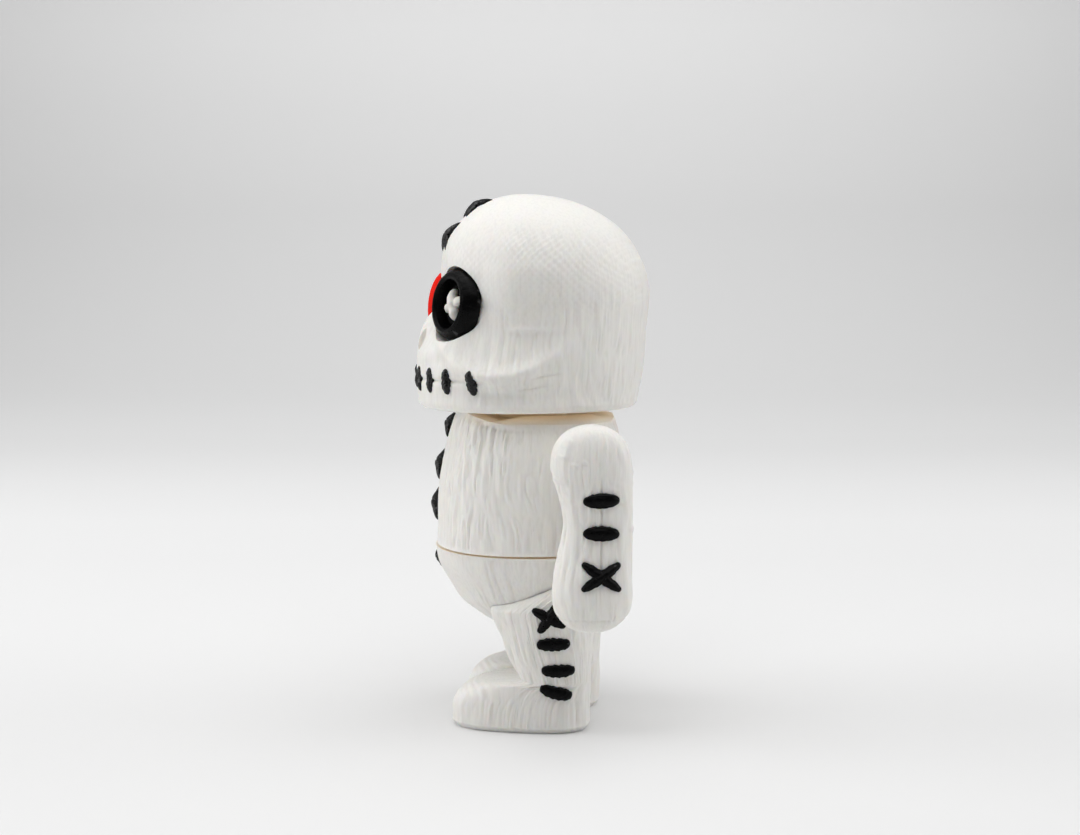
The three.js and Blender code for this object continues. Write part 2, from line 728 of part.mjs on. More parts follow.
function armPoint(turn, share) {
  const length = armDrop + armTopRound;
  const height = share * length;
  const top = roundOff(Math.max(height - armDrop, 0) / armTopRound, armEndFullness);
  const hand = roundOff(Math.max(handRound - height, 0) / handRound, armEndFullness);
  const full = Math.min(top, hand);
  const thinner = roundOff(1 - full, armEdgeFullness);
  const back = armDepth / 2;
  const front = armDepth * armFrontShape(share) - back;
  const thick = armThickness * armThicknessShape(share);
  const middle = thick * armMiddle;
  const section = {
    x: armOffset + middle,
    y: shoulderBack,
    front: front * full,
    back: back * full,
    left: (thick - middle) * thinner * (armEndThickness + (1 - armEndThickness) * full),
    right: middle * thinner,
    squareness: armSquareness,
  };
  return sectionPoint(section, turn, armBottom + height);
}

function armSkin() {
  const length = armDrop + armTopRound;
  const hand = [0.01, 0.08, 0.3, 1].map((share) => (share * handRound) / length);
  const wrist = [0.22, 0.32, 0.41, 0.5, 0.6, 0.71];
  const top = [0, 0.4, 0.7, 0.9, 0.985].map(
    (share) => (armDrop + share * armTopRound) / length,
  );
  const shares = [...hand, ...wrist, ...top];
  return skin(shares.map((share) => ring(limbSides, (turn) => armPoint(turn, share))));
}

function mirrored(geometry) {
  const other = geometry.clone().applyMatrix4(new THREE.Matrix4().makeScale(-1, 1, 1));
  const index = other.index.array;
  for (let i = 0; i < index.length; i += 3) {
    [index[i + 1], index[i + 2]] = [index[i + 2], index[i + 1]];
  }
  return other;
}

// Adds the left limb's pieces and their mirror images on the right.
function addBothSides(group, pieces) {
  for (const [name, [geometry, material]] of Object.entries(pieces)) {
    group.add(node(`left_${name}`, geometry, material));
    group.add(node(`right_${name}`, mirrored(geometry), material));
  }
}

function makeArms() {
  const group = new THREE.Group();
  const shell = new THREE.Mesh(armSkin(), shellWhite);
  const carved = cut(shell.geometry, [pinSocket(shoulderPin).applyMatrix4(shoulderFrame(1))]);
  const outward = new THREE.Vector3(1, 0, 0);
  const spotAt = (height) =>
    spotOn(shell, new THREE.Vector3(armOffset, armStitchBack, armBottom + height), outward);
  const bar = (height) => barGeometry(shell, spotAt(height), limbBar, crosswise);
  addBothSides(group, {
    arm: [carved, shellWhite],
    arm_bar_upper: [bar(armBarHeights.upper), stitchBlack],
    arm_bar_lower: [bar(armBarHeights.lower), stitchBlack],
    arm_cross: [crossGeometry(shell, spotAt(armCrossHeight), armCross), stitchBlack],
  });
  return group;
}

// Legs: heights are above the ground

const footShape = through(
  [0, 1], [0.35, 1], [0.5, 0.98], [0.69, 0.905], [0.82, 0.8], [0.9, 0.7], [0.96, 0.54],
  [0.985, 0.36], [1, 0.12], [1.04, 0],
);

function legPoint(turn, height) {
  const edge = (soleInset * Math.max(soleEdge - height, 0)) / soleEdge;
  const thigh = THREE.MathUtils.clamp((height - footHeight) / thighReach, 0, 1);
  const shin = ankleFront + (thighFront - ankleFront) * thigh;
  const front = shin + (footFront - ankleFront) * footShape(height / footHeight);
  const heel = heelBack + (thighBack - heelBack) * thigh;
  const width = legWidth + thighFlare * thigh;
  const full = roundOff(Math.max(height - thighRoundHeight, 0) / thighRound, thighFullness);
  const section = {
    x: legSpread + width / 2,
    y: (heel - front) / 2,
    front: ((front + heel) / 2 - edge) * full,
    back: ((front + heel) / 2 - edge) * full,
    left: (width / 2 - edge) * full,
    right: (width / 2 - edge) * full,
    squareness: legSquareness,
  };
  return sectionPoint(section, turn, height);
}

function legSkin() {
  const sole = [0, soleEdge];
  const footShares = [0.25, 0.44, 0.6, 0.74, 0.84, 0.91, 0.96, 0.985, 1, 1.04];
  const foot = footShares.map((share) => share * footHeight);
  const shank = [0.22, 0.45, 0.68, 0.86, 1].map(
    (share) => footHeight + share * (thighRoundHeight - footHeight),
  );
  const top = [0.4, 0.7, 0.88, 0.97].map((share) => thighRoundHeight + share * thighRound);
  const heights = [...sole, ...foot, ...shank, ...top];
  return skin(heights.map((height) => ring(limbSides, (turn) => legPoint(turn, height))));
}

function makeLegs() {
  const group = new THREE.Group();
  const shell = new THREE.Mesh(legSkin(), shellWhite);
  const socket = pinSocket(hipPin).applyMatrix4(hipFrame(1));
  const carved = cut(shell.geometry, [...bellySweep(), socket]);
  const outward = new THREE.Vector3(1, 0, 0);
  const spotAt = (name, height) =>
    spotOn(shell, new THREE.Vector3(legSpread, legStitchBacks[name], height), outward);
  const bar = (name, turn) =>
    barGeometry(shell, spotAt(name, legBarHeights[name]), limbBar, crosswise + turn);
  const cross = crossGeometry(shell, spotAt('cross', legCrossHeight), legCross, legCrossTurn);
  addBothSides(group, {
    leg: [carved, shellWhite],
    leg_cross: [cross, stitchBlack],
    leg_bar_upper: [bar('upper', 0), stitchBlack],
    leg_bar_middle: [bar('middle', 0), stitchBlack],
    leg_bar_lower: [bar('lower', lowestBarTurn), stitchBlack],
  });
  return group;
}

const lowerBody = new THREE.Group();
lowerBody.add(makePelvis(), makeLegs());
lowerBody.rotation.z = radians(pelvisTurn);

const doll = new THREE.Group();
doll.add(lowerBody, makeChest(), makeArms(), makeHead());

export default doll;
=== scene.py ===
"""Fine surfaces and finishes of the voodoo doll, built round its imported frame.

Shapes are worked out in millimetres, in the frame's axes: the doll faces -Y, its left side is +X and
+Z is up. They become metres when a piece is made.
"""

from collections import namedtuple
from math import atan2, copysign, cos, pi, radians, sin, sqrt

import bpy
import numpy as np
from mathutils import Matrix, Vector
from mathutils.bvhtree import BVHTree


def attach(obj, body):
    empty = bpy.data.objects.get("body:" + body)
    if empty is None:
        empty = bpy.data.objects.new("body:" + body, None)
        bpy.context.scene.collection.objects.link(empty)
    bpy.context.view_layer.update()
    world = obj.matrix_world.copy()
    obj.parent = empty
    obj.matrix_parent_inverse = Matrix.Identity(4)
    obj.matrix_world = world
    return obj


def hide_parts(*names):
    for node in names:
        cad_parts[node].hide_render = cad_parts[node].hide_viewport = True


MM = 0.001

# Fits
SEAT_GAP = 0.3
PIN_CLEARANCE = 0.3
WAIST_GAP = 0.5
NECK_GAP = 0.5

# Heights of the stacked pieces
BELLY_HEIGHT = 24.4
PELVIS_HEIGHT = 22.4
CHEST_HEIGHT = 35.9
HEAD_HEIGHT = 56.3

# Turns of the pieces at rest, to the doll's left
HEAD_TURN = 8
PELVIS_TURN = -8.5

# Head
HEAD_WIDTH = 59
HEAD_SQUARENESS = 2.2
CROWN_FORWARD = 2
BROW_FRONT = 26.6
MUZZLE_FRONT = 30.4
HEAD_BACK = 31.4
NAPE_INSET = 3.2
JAW_INSET = 3
BROW_HEIGHT = 28.3
DOME_FULLNESS = 2.1
HEAD_EDGE_ROUND = 2.2
MOUTH_HEIGHT = 7.9
MOUTH_GROOVE_DEPTH = 0.5
MOUTH_GROOVE_WIDTH = 0.6
MOUTH_TURN = 62
CHEEK_RIDGE = {"height": 9.4, "proud": 2.0, "rise": 6, "turn": 68, "turn_reach": 32, "reach": 2.4}
# Hollows and, where the depth is negative, swellings: bearing, height, reach round, reach up, depth
HEAD_DENTS = (
    (78, 20.5, 26, 7.5, 2.6),
    (94, 28, 20, 8, 0.9),
    (86, 21.3, 13, 0.9, -0.5),
    (73, 4.6, 30, 1.8, 0.7),
    (0, 33, 21, 7.5, 2.2),
    (55, 27.5, 15, 15, 2.1),
    (17, 20.5, 10, 4.5, 1.5),
    (21, 14.6, 9, 2.0, -0.5),
    (35, 13.6, 9, 2.2, 0.45),
)
NOSE_HEIGHT = 18.3
NOSTRIL = {"width": 3.6, "tall": 7, "depth": 2.6, "lean": 14, "bridge": 1.4}

# Button eyes
EYE_SEAT_TURN = 28.5
EYE_TURN = 25
EYE_TILT = 7
EYE_HEIGHT = 27.3
EYE_SOCKET_RADIUS = 12
EYE_SOCKET_DEPTH = 2.6
BUTTON_RADIUS = 9.5
BUTTON_FACE_RADIUS = 7.8
BUTTON_STAND = 2.9
BUTTON_SIDE = 3.5
BUTTON_SUNK = 1.5
DISH_RADIUS = 6
DISH_DEPTH = 4.4
THREAD_RADIUS = 1.25
THREAD_LENGTH = 10.9
THREAD_ARCH = 0.5

# Chest
CHEST_WIDTH = 49.8
CHEST_FRONT = 25.2
CHEST_BACK = 24.4
CHEST_SQUARENESS = 2.3
SHOULDER_SQUARENESS = 3.6
NECK_WELL_DEPTH = 2.4
SHOULDER_BOSS_RADIUS = 6
SHOULDER_BOSS_ROOT = 8.5
SHOULDER_BOSS_LENGTH = 11.7
SHOULDER_HEIGHT = 23.3
SHOULDER_BACK = 15.1

# Pelvis
PELVIS_WIDTH = 49.2
PELVIS_FRONT = 25.5
PELVIS_BACK = 24
PELVIS_SQUARENESS = 2.2
BELLY_ROUND = 24.5
HIP_SWIVEL = 15
HIP_GAP = 0.08

# Arms
ARM_GAP = 0.3
ARM_OFFSET = 26.3
ARM_THICKNESS = 12
ARM_DEPTH = 20.4
ARM_DROP = 40.4
ARM_SQUARENESS = 2.5
ARM_TOP_ROUND = 11
HAND_ROUND = 9
ARM_END_FULLNESS = 2.3

# Legs
LEG_SPREAD = 1.6
LEG_WIDTH = 18
LEG_SQUARENESS = 2.7
FOOT_FRONT = 19.3
HEEL_BACK = 17.3
FOOT_HEIGHT = 12.9
ANKLE_FRONT = 0.9
THIGH_FRONT = 10.8
THIGH_BACK = 19
THIGH_FLARE = 3.5
THIGH_REACH = 25
THIGH_ROUND_HEIGHT = 35
THIGH_ROUND = 8
THIGH_TOP_HEIGHT = 33
THIGH_TOP_FRONT = 6.8
THIGH_TOP_SLOPE = 2.3
THIGH_TOP_BEND = 1
SOLE_INSET = 1.3
SOLE_EDGE = 1.5

# Pivot pins
Pin = namedtuple("Pin", "shank head head_length below above")
NECK_PIN = Pin(6, 7.4, 2.4, 8, 8.5)
WAIST_PIN = Pin(5, 6.2, 1.6, 5.5, 7)
SHOULDER_PIN = Pin(3.2, 4.3, 1.5, 7.5, 6)
HIP_PIN = Pin(2.8, 3.8, 1.3, 5.5, 5.5)
HIP_PIN_SIDE = 11.2
HIP_PIN_BACK = 5.3
PIN_CHAMFER = 0.4

# Stitches: a bar is a length by a width, stands a height above the shell and narrows to a blunt share
# of its width. A cross is two bars, each turned from upright by a slant, and a mouth stitch leans by it.
# The chest's and the belly's places are a drop from the piece's top and a length.
Stitch = namedtuple("Stitch", "length width height slant blunt fullness ragged")
MOUTH_STITCH = Stitch(6.6, 2.9, 1, 7, 0.08, 1.8, 0.09)
MOUTH_STITCH_TURNS = (8.5, 24.3, 39.2, 57)
FOREHEAD_STITCH = Stitch(12, 2.6, 1.4, 46, 0.06, 1.4, 0.12)
FOREHEAD_STITCH_DROPS = {"upper": 3.4, "lower": 11.0}
CHEST_STITCH = Stitch(10.6, 2.6, 1.7, 44, 0.08, 1.5, 0.2)
CHEST_STITCH_PLACES = {"upper": (4.5, 9.2), "middle": (15.2, 10.6), "lower": (25.9, 10.8)}
BELLY_STITCH_PLACE = (4.9, 8.4)
BELLY_STITCH_RISE = -0.15
ARM_BAR = Stitch(9, 3.8, 1.3, 0, 0.15, 1.9, 0.03)
LEG_BAR = Stitch(8.6, 3.4, 1.2, 0, 0.2, 2.2, 0.07)
ARM_CROSS = Stitch(11.6, 2.8, 1.3, 54, 0.2, 2.0, 0.05)
LEG_CROSS = Stitch(9.6, 2.8, 1.3, 47, 0.22, 2.0, 0.05)
ARM_STITCH_BACK = 17.4
# Stitches of the left limbs: place to the back, height, bar, turn from upright and seed
ARM_STITCHES = {
    "arm_bar_upper": (ARM_STITCH_BACK, 33.5, ARM_BAR, 90, 271),
    "arm_bar_lower": (ARM_STITCH_BACK, 25.3, ARM_BAR, 90, 272),
    "arm_cross": (ARM_STITCH_BACK, 14.75, ARM_CROSS, 0, 275),
}
LEG_STITCHES = {
    "leg_cross": (8, 31.3, LEG_CROSS, 15, 281),
    "leg_bar_upper": (9, 24.3, LEG_BAR, 90, 285),
    "leg_bar_middle": (10.1, 17.2, LEG_BAR, 90, 286),
    "leg_bar_lower": (9.4, 11.2, LEG_BAR, 74, 287),
}

# Strands of the cloth on each shell: pitch, run and depth
HEAD_STRANDS = [(3.8, 11, 0.15), (1.7, 8, 0.16), (0.95, 6, 0.13)]
CHEST_STRANDS = [(4.2, 10, 0.17), (1.9, 6.5, 0.19), (0.95, 5, 0.19)]
PELVIS_STRANDS = [(4.4, 15, 0.16), (2.0, 10, 0.16), (0.95, 8, 0.11)]
ARM_STRANDS = [(2.6, 12, 0.14), (1.3, 8, 0.14), (0.8, 5, 0.1)]
LEG_STRANDS = [(3.2, 10, 0.15), (1.5, 7, 0.15), (0.85, 5, 0.11)]
CHEST_SWAY = 1.7
PELVIS_SWAY = 1.2
GAUZE_PITCH = 2.0
GAUZE_DEPTH = 0.045
# Soft noises of the cloth, in layers: amount, cells round, run and seed
CLOTH_LIFT = [(4, 7, 30, 5)]
GAUZE_BEND = [(1.3, 8, 8, 31), (0.7, 24, 4, 35)]
GAUZE_PATCHES = [(0.5, 17, 7, 32)]
HEAD_LUMPS = [(0.16, 22, 6, 33), (0.1, 46, 3, 34)]
WRINKLE_PATCHES = [(1, 8, 5, 96)]
TOE_RING_BEND = [(0.6, 9, 9, 117)]
# A fold under the shoulder and a ridge down the shin, as the cheek ridge is given
SHOULDER_FOLD = {"height": 31.5, "reach": 4.5, "turn": 73, "turn_reach": 13, "depth": 1.1}
SHIN_RIDGE = {"turn": 24, "turn_reach": 7, "proud": 0.7}
# Creases by the cheek: share round, level and rise
CREASES = ((0.262, 9.6, 0.9), (0.245, 6.6, 0.75))
CREASE_REACH = 0.03
CREASE_DEPTH = 0.315
CREASE_WIDTH = 0.35
WRINKLE_HEIGHT = 0.36
SEAM_DEPTH = 0.5
SEAM_WIDTH = 0.35
HEM_HEIGHT = 3.6
HEM_DEPTH = 0.2
TOE_RING_PITCH = 1.5
TOE_RING_HEIGHT = 0.09
HEEL_LINES = (13.1, 14.5)
HEEL_LINE_DEPTH = 0.22

# Levels and girths that follow from the sizes above
WAIST_LEVEL = BELLY_HEIGHT + PELVIS_HEIGHT
CHEST_BOTTOM = WAIST_LEVEL + WAIST_GAP
CHEST_TOP = CHEST_BOTTOM + CHEST_HEIGHT
HEAD_BOTTOM = CHEST_TOP + NECK_GAP
NECK_WELL_LEVEL = CHEST_TOP - NECK_WELL_DEPTH
SHOULDER_LEVEL = CHEST_BOTTOM + SHOULDER_HEIGHT
ARM_BOTTOM = SHOULDER_LEVEL - ARM_DROP
HEAD_GIRTH = pi * HEAD_WIDTH
CHEST_GIRTH = pi * CHEST_WIDTH
PELVIS_GIRTH = pi * PELVIS_WIDTH
ARM_GIRTH = 2 * (ARM_THICKNESS + ARM_DEPTH) * 0.85
LEG_GIRTH = 2 * (LEG_WIDTH + FOOT_FRONT + HEEL_BACK) * 0.9

# Fineness of the surfaces
FINE_STEP = 0.32
PRESS_STEP = 1.5
PRESS_FROM = 30
SPOT_REACH = 1.5
STITCH_STEPS = 40
STITCH_SIDES = 25
STITCH_SUNK = 0.35
UPPER_STRAND = 1.2
LATHE_SIDES = 96
SOCKET_SIDES = 48
BOSS_SIDES = 64
BUTTON_SIDES = 160
NOISE_ROWS = 61
SMALLEST = 0.01

UP = Vector((0, 0, 1))


# Curves and noise


def through(*pairs):
    """A smooth curve through (place, value) pairs, level before the first and after the last."""
    places, values = np.array(pairs, float).T
    last = len(places) - 1
    low = np.maximum(np.arange(last + 1) - 1, 0)
    high = np.minimum(np.arange(last + 1) + 1, last)
    slopes = (values[high] - values[low]) / (places[high] - places[low])

    def curve(place):
        place = np.clip(place, places[0], places[-1])
        i = np.clip(np.searchsorted(places, place) - 1, 0, last - 1)
        span = places[i + 1] - places[i]
        s = (place - places[i]) / span
        start = (2 * s**3 - 3 * s**2 + 1) * values[i] + (s**3 - 2 * s**2 + s) * span * slopes[i]
        end = (3 * s**2 - 2 * s**3) * values[i + 1] + (s**3 - s**2) * span * slopes[i + 1]
        return start + end

    return curve


def swell(distance, reach):
    return np.exp(-((distance / reach) ** 2))


def round_off(part, fullness):
    return (1 - np.minimum(np.abs(part), 1) ** fullness) ** (1 / fullness)


def soft_excess(value, bend):
    """The part of a value above nought, with a soft bend where it starts."""
    return 0.5 * (value + np.sqrt(value**2 + bend**2))


def step(low, high, value):
    """From 0 at low to 1 at high, with soft ends."""
    s = np.clip((value - low) / (high - low), 0, 1)
    return s * s * (3 - 2 * s)


def noise(u, v, cells, seed):
    """Soft noise from -1 to 1 over unit cells, which repeats every so many cells of u."""
    table = np.random.default_rng(seed).uniform(-1, 1, (cells, NOISE_ROWS))
    iu, iv = np.floor(u).astype(int), np.floor(v).astype(int)
    fu, fv = u - iu, v - iv
    fu, fv = fu * fu * (3 - 2 * fu), fv * fv * (3 - 2 * fv)

    def across(row):
        row = row % NOISE_ROWS
        return table[iu % cells, row] * (1 - fu) + table[(iu + 1) % cells, row] * fu

    return across(iv) * (1 - fv) + across(iv + 1) * fv


def waves(share, along, layers):
    """Soft noise round a piece, the sum of layers of (amount, cells round, run, seed)."""
    return sum(
        amount * noise(share * cells, along / run, cells, seed) for amount, cells, run, seed in layers
    )


def yarns(share, along, girth, layers, seed, sway=1.0):
    """Lengthwise strands of a wrapped cloth, in millimetres. The share runs from 0 to 1 once round the
    piece, along is a length, and a layer is (pitch, run, depth)."""
    drift = waves(share, along, [(sway, 9, 13, seed), (0.4 * sway, 26, 6, seed + 1)])
    total = np.zeros_like(share)
    for k, (pitch, run, depth) in enumerate(layers):
        value = waves(share + drift / girth, along, [(1, round(girth / pitch), run, seed + 2 + k)])
        total += depth * (2 * np.sqrt(value**2 + 0.01) - 1)
    return total


# Meshes


def ring_angles(count):
    return np.linspace(0, 2 * pi, count, endpoint=False)


def stacked(*coordinates):
    return np.stack(np.broadcast_arrays(*coordinates), axis=-1)


def section_points(angle, height, front, back, left, right, squareness, x=0, y=0):
    """Points of a rounded section at angles about its middle, 0 in front and growing to the doll's left,
    and how far round each one lies as the source of the shape counts it, from 0 in front to 180 behind."""
    side, ahead = np.sin(angle), np.cos(angle)
    half_width = np.where(side > 0, left, right)
    half_depth = np.where(ahead > 0, front, back)
    across, along = np.abs(side) / half_width, np.abs(ahead) / half_depth
    reach = (across**squareness + along**squareness) ** (-1 / squareness)
    points = stacked(x + side * reach, y - ahead * reach, height)
    half = squareness / 2
    turn = np.degrees(np.arctan2((across * reach) ** half, (along * reach) ** half))
    return points, np.where(ahead < 0, 180 - turn, turn)


def measured(grid, around, angle, height):
    """A shell's grid with the measures that its cloth goes by: how far round, the share and the height."""
    return grid, around, np.broadcast_to(angle / (2 * pi), around.shape), height + 0 * around


def shell_grid(points_of, girth, spacing, height, *more):
    """A shell's measured grid, whose rings have a point about every spacing."""
    angle = ring_angles(round(girth / spacing))[None, :]
    return measured(*points_of(angle, height, *more), angle, height)


def point_of(points_of, angle, height):
    """A shell's point at one angle and height."""
    return Vector(points_of(np.array(float(angle)), np.array(float(height)))[0])


def grid_normals(grid):
    across = np.roll(grid, -1, axis=1) - np.roll(grid, 1, axis=1)
    up = np.gradient(grid, axis=0)
    normals = np.cross(across, up)
    return normals / np.maximum(np.linalg.norm(normals, axis=-1, keepdims=True), 1e-9)


def skin_faces(rows, columns):
    """Quads between the rows of a closed grid, and a fan at each end to an added middle point."""
    i, j = np.meshgrid(np.arange(rows - 1), np.arange(columns), indexing="ij")
    k = (j + 1) % columns
    quads = np.stack([i * columns + j, i * columns + k, (i + 1) * columns + k, (i + 1) * columns + j], -1)
    ring = np.arange(columns)
    after = (ring + 1) % columns
    top = (rows - 1) * columns
    low = np.stack([np.full(columns, rows * columns), after, ring], -1)
    high = np.stack([np.full(columns, rows * columns + 1), top + ring, top + after], -1)
    return quads.reshape(-1, 4).tolist() + low.tolist() + high.tolist()


def closed(grid, low=None, high=None):
    """Points and faces of a skin over a grid, whose ends close on a point or on the end row's middle."""
    ends = [grid[0].mean(0) if low is None else low, grid[-1].mean(0) if high is None else high]
    return np.concatenate([grid.reshape(-1, 3), np.array(ends)]), skin_faces(*grid.shape[:2])


def in_scene(name, data):
    obj = bpy.data.objects.new(name, data)
    bpy.context.scene.collection.objects.link(obj)
    return obj


def mesh_object(name, points, faces, unit=MM):
    mesh = bpy.data.meshes.new(name)
    mesh.from_pydata((np.asarray(points) * unit).tolist(), [], faces)
    mesh.validate()
    return in_scene(name, mesh)


def skin(name, grid, low=None, high=None):
    return mesh_object(name, *closed(grid, low, high))


def press_tree(grid):
    """A coarse shell that stitches are pressed on."""
    points, faces = closed(grid)
    return BVHTree.FromPolygons(points.tolist(), faces)


def lathe(name, profile, sides=LATHE_SIDES):
    """A turned solid about Z from (radius, height) pairs that run upwards and off the axis."""
    profile = np.array(profile, float)
    angle = ring_angles(sides)
    radius, height = profile[:, :1], profile[:, 1:]
    grid = stacked(radius * np.cos(angle), radius * np.sin(angle), height)
    return skin(name, grid, (0, 0, profile[0, 1]), (0, 0, profile[-1, 1]))


def move(obj, matrix):
    """Moves an object's mesh by a matrix whose shifts are in millimetres."""
    scaled = matrix.copy()
    scaled.translation *= MM
    obj.data.transform(scaled)
    return obj


def combine(obj, operation, tools):
    """Cuts tools from an object or joins them to it, and removes the tools."""
    for tool in tools:
        modifier = obj.modifiers.new("combine", "BOOLEAN")
        modifier.operation = operation
        modifier.solver = "MANIFOLD"
        modifier.object = tool
    bpy.context.view_layer.update()
    evaluated = obj.evaluated_get(bpy.context.evaluated_depsgraph_get())
    made = bpy.data.meshes.new_from_object(evaluated)
    obj.modifiers.clear()
    old, obj.data = obj.data, made
    bpy.data.meshes.remove(old)
    for tool in tools:
        bpy.data.objects.remove(tool)
    return obj


def frame_at(point, direction):
    """A matrix at a point with its Z axis along a direction."""
    turn = UP.rotation_difference(Vector(direction).normalized())
    return Matrix.Translation(Vector(point)) @ turn.to_matrix().to_4x4()


def turned(degrees, axis, size=4):
    return Matrix.Rotation(radians(degrees), size, axis)


def mirrored(obj, name):
    """A copy of an object on the doll's other side."""
    twin = in_scene(name, obj.data.copy())
    twin.data.transform(Matrix.Scale(-1, 4, (1, 0, 0)))
    twin.data.flip_normals()
    return twin


def dress(obj, node, body, material, turn=0, sharp=40):
    """Turns a finished piece into place and lets it stand for a node of the frame."""
    obj.data.transform(turned(turn, "Z"))
    obj.data.materials.clear()
    obj.data.materials.append(material)
    obj.data.shade_smooth()
    obj.data.set_sharp_from_angle(angle=radians(sharp))
    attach(obj, body)
    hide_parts(node)


def pin_socket(pin, matrix):
    """The room of a pivot pin, which cuts its socket."""
    head, shank = pin.head + PIN_CLEARANCE, pin.shank + PIN_CLEARANCE
    profile = []
    for way, reach in ((-1, pin.below), (1, pin.above)):
        end = way * (reach + PIN_CLEARANCE)
        neck = end - way * pin.head_length - way * 2 * PIN_CLEARANCE
        chamfer = [(head - PIN_CHAMFER, end), (head, end - way * PIN_CHAMFER)]
        flare = [(head, neck), (shank, neck - way * (pin.head - pin.shank))]
        profile += (chamfer + flare)[::-way]
    return move(lathe("socket", profile, SOCKET_SIDES), matrix)


# Head

MUZZLE_SHAPE = through((0, 0), (0.06, 0.06), (0.18, 0.6), (0.34, 0.95), (0.52, 1.04), (1, 0.94))
NAPE_SHAPE = through((0, 0), (0.42, 0.33), (0.67, 0.6), (1, 1))
JAW_SHAPE = through((0, 0), (0.5, 0.35), (1, 1))
EYE_SIDE = HEAD_WIDTH / 2 * sin(radians(EYE_SEAT_TURN)) ** (2 / HEAD_SQUARENESS)


def head_relief(points, bearing, height):
    from_eye = np.hypot(np.abs(points[..., 0]) - EYE_SIDE, height - EYE_HEIGHT)
    socket = EYE_SOCKET_DEPTH * swell(from_eye, EYE_SOCKET_RADIUS) * step(90, 66, bearing)
    aside = (bearing - CHEEK_RIDGE["turn"]) / CHEEK_RIDGE["turn_reach"]
    ridge_line = CHEEK_RIDGE["height"] + CHEEK_RIDGE["rise"] * aside**2
    ridge = CHEEK_RIDGE["proud"] * swell(height - ridge_line, CHEEK_RIDGE["reach"]) * swell(aside, 1)
    hollow = sum(
        depth * swell(bearing - turn, turn_reach) * swell(height - level, reach)
        for turn, level, turn_reach, reach, depth in HEAD_DENTS
    )
    groove = MOUTH_GROOVE_DEPTH * swell(height - MOUTH_HEIGHT, MOUTH_GROOVE_WIDTH)
    groove = groove * step(MOUTH_TURN + 2, MOUTH_TURN - 2, bearing)
    return ridge - socket - hollow - groove


def head_reach(height):
    """The head's half width and its reach in front and behind, before the dome narrows them."""
    drop = 1 - np.minimum(height / BROW_HEIGHT, 1)
    across = HEAD_WIDTH / 2 - JAW_INSET * JAW_SHAPE(drop)
    front = BROW_FRONT + (MUZZLE_FRONT - BROW_FRONT) * MUZZLE_SHAPE(drop) - CROWN_FORWARD
    return across, front, HEAD_BACK - NAPE_INSET * NAPE_SHAPE(drop) + CROWN_FORWARD


def head_points(angle, height):
    """Points of the head at angles and at heights above its flat underside."""
    dome = round_off(np.maximum(height - BROW_HEIGHT, 0) / (HEAD_HEIGHT - BROW_HEIGHT), DOME_FULLNESS)
    low = np.maximum(HEAD_EDGE_ROUND - height, 0) / HEAD_EDGE_ROUND
    edge = HEAD_EDGE_ROUND * (1 - np.sqrt(1 - low**2))
    side, front, back = (np.maximum(reach * dome - edge, SMALLEST) for reach in head_reach(height))
    level = HEAD_BOTTOM + height
    reaches = (front, back, side, side)
    points, around = section_points(angle, level, *reaches, HEAD_SQUARENESS, y=-CROWN_FORWARD)
    outward = stacked(np.sin(angle), -np.cos(angle), 0 * height)
    bearing = np.degrees(np.arccos(np.cos(angle)))
    return points + outward * head_relief(points, bearing, height)[..., None], around


def head_grid(spacing):
    edge = HEAD_EDGE_ROUND * (1 - np.cos(np.linspace(0, pi / 2, max(3, round(3 / spacing)))))
    wall = np.arange(HEAD_EDGE_ROUND + spacing, BROW_HEIGHT, spacing)
    dome = HEAD_HEIGHT - BROW_HEIGHT
    slope = np.linspace(0, pi / 2, round(dome * 1.57 / spacing))[:-1]
    height = np.concatenate([edge, wall, BROW_HEIGHT + dome * np.sin(slope) ** (2 / DOME_FULLNESS)])
    return shell_grid(head_points, HEAD_GIRTH, spacing, height[:, None])


def head_fabric(grid, around, share, height):
    """The wrapped cloth of the head: strands low down and behind, and gauze over the crown."""
    x, y, z = np.moveaxis(grid, -1, 0)
    lift = BROW_HEIGHT + waves(share, height, CLOTH_LIFT)
    low = 1 - step(lift - 6, lift + 8, height)
    strands = yarns(share, height, HEAD_GIRTH, HEAD_STRANDS, seed=11)
    strands = strands * low * (1 - 0.6 * step(88, 50, around))
    bend = waves(share, height, GAUZE_BEND)
    warp = np.cos(2 * pi * (0.55 * x + y + z + bend) / GAUZE_PITCH)
    weft = np.cos(2 * pi * (0.45 * x + y - z + bend) / GAUZE_PITCH)
    patches = 0.5 + waves(share, height, GAUZE_PATCHES)
    crown = step(lift - 8, lift + 4, height) * step(50, 42, height) * (0.35 + 0.65 * patches)
    gauze = GAUZE_DEPTH * (warp + weft) * crown
    lumps = waves(share, height, HEAD_LUMPS)
    calm = step(0, 2.5, height) * (1 - step(HEAD_HEIGHT - 4, HEAD_HEIGHT, height) * 0.7)
    return (strands + gauze + lumps) * calm - sum(crease(share, height, *place) for place in CREASES)


def crease(share, height, middle, level, rise):
    """A short crease near the cheek, which rises by so much from its middle to its end."""
    aside = (share - middle) / CREASE_REACH
    line = level + rise * aside
    return CREASE_DEPTH * swell(height - line, CREASE_WIDTH) * np.clip(1 - aside**2, 0, 1)


def head_point(turn, height):
    """The head's point at a turn in front, counted as the shape's source counts it."""
    across, front = head_reach(height)[:2]
    power = 2 / HEAD_SQUARENESS
    side, ahead = sin(radians(turn)), cos(radians(turn))
    aside = copysign(abs(side) ** power * across, side)
    angle = atan2(aside, copysign(abs(ahead) ** power * front, ahead))
    return point_of(head_points, angle, height)


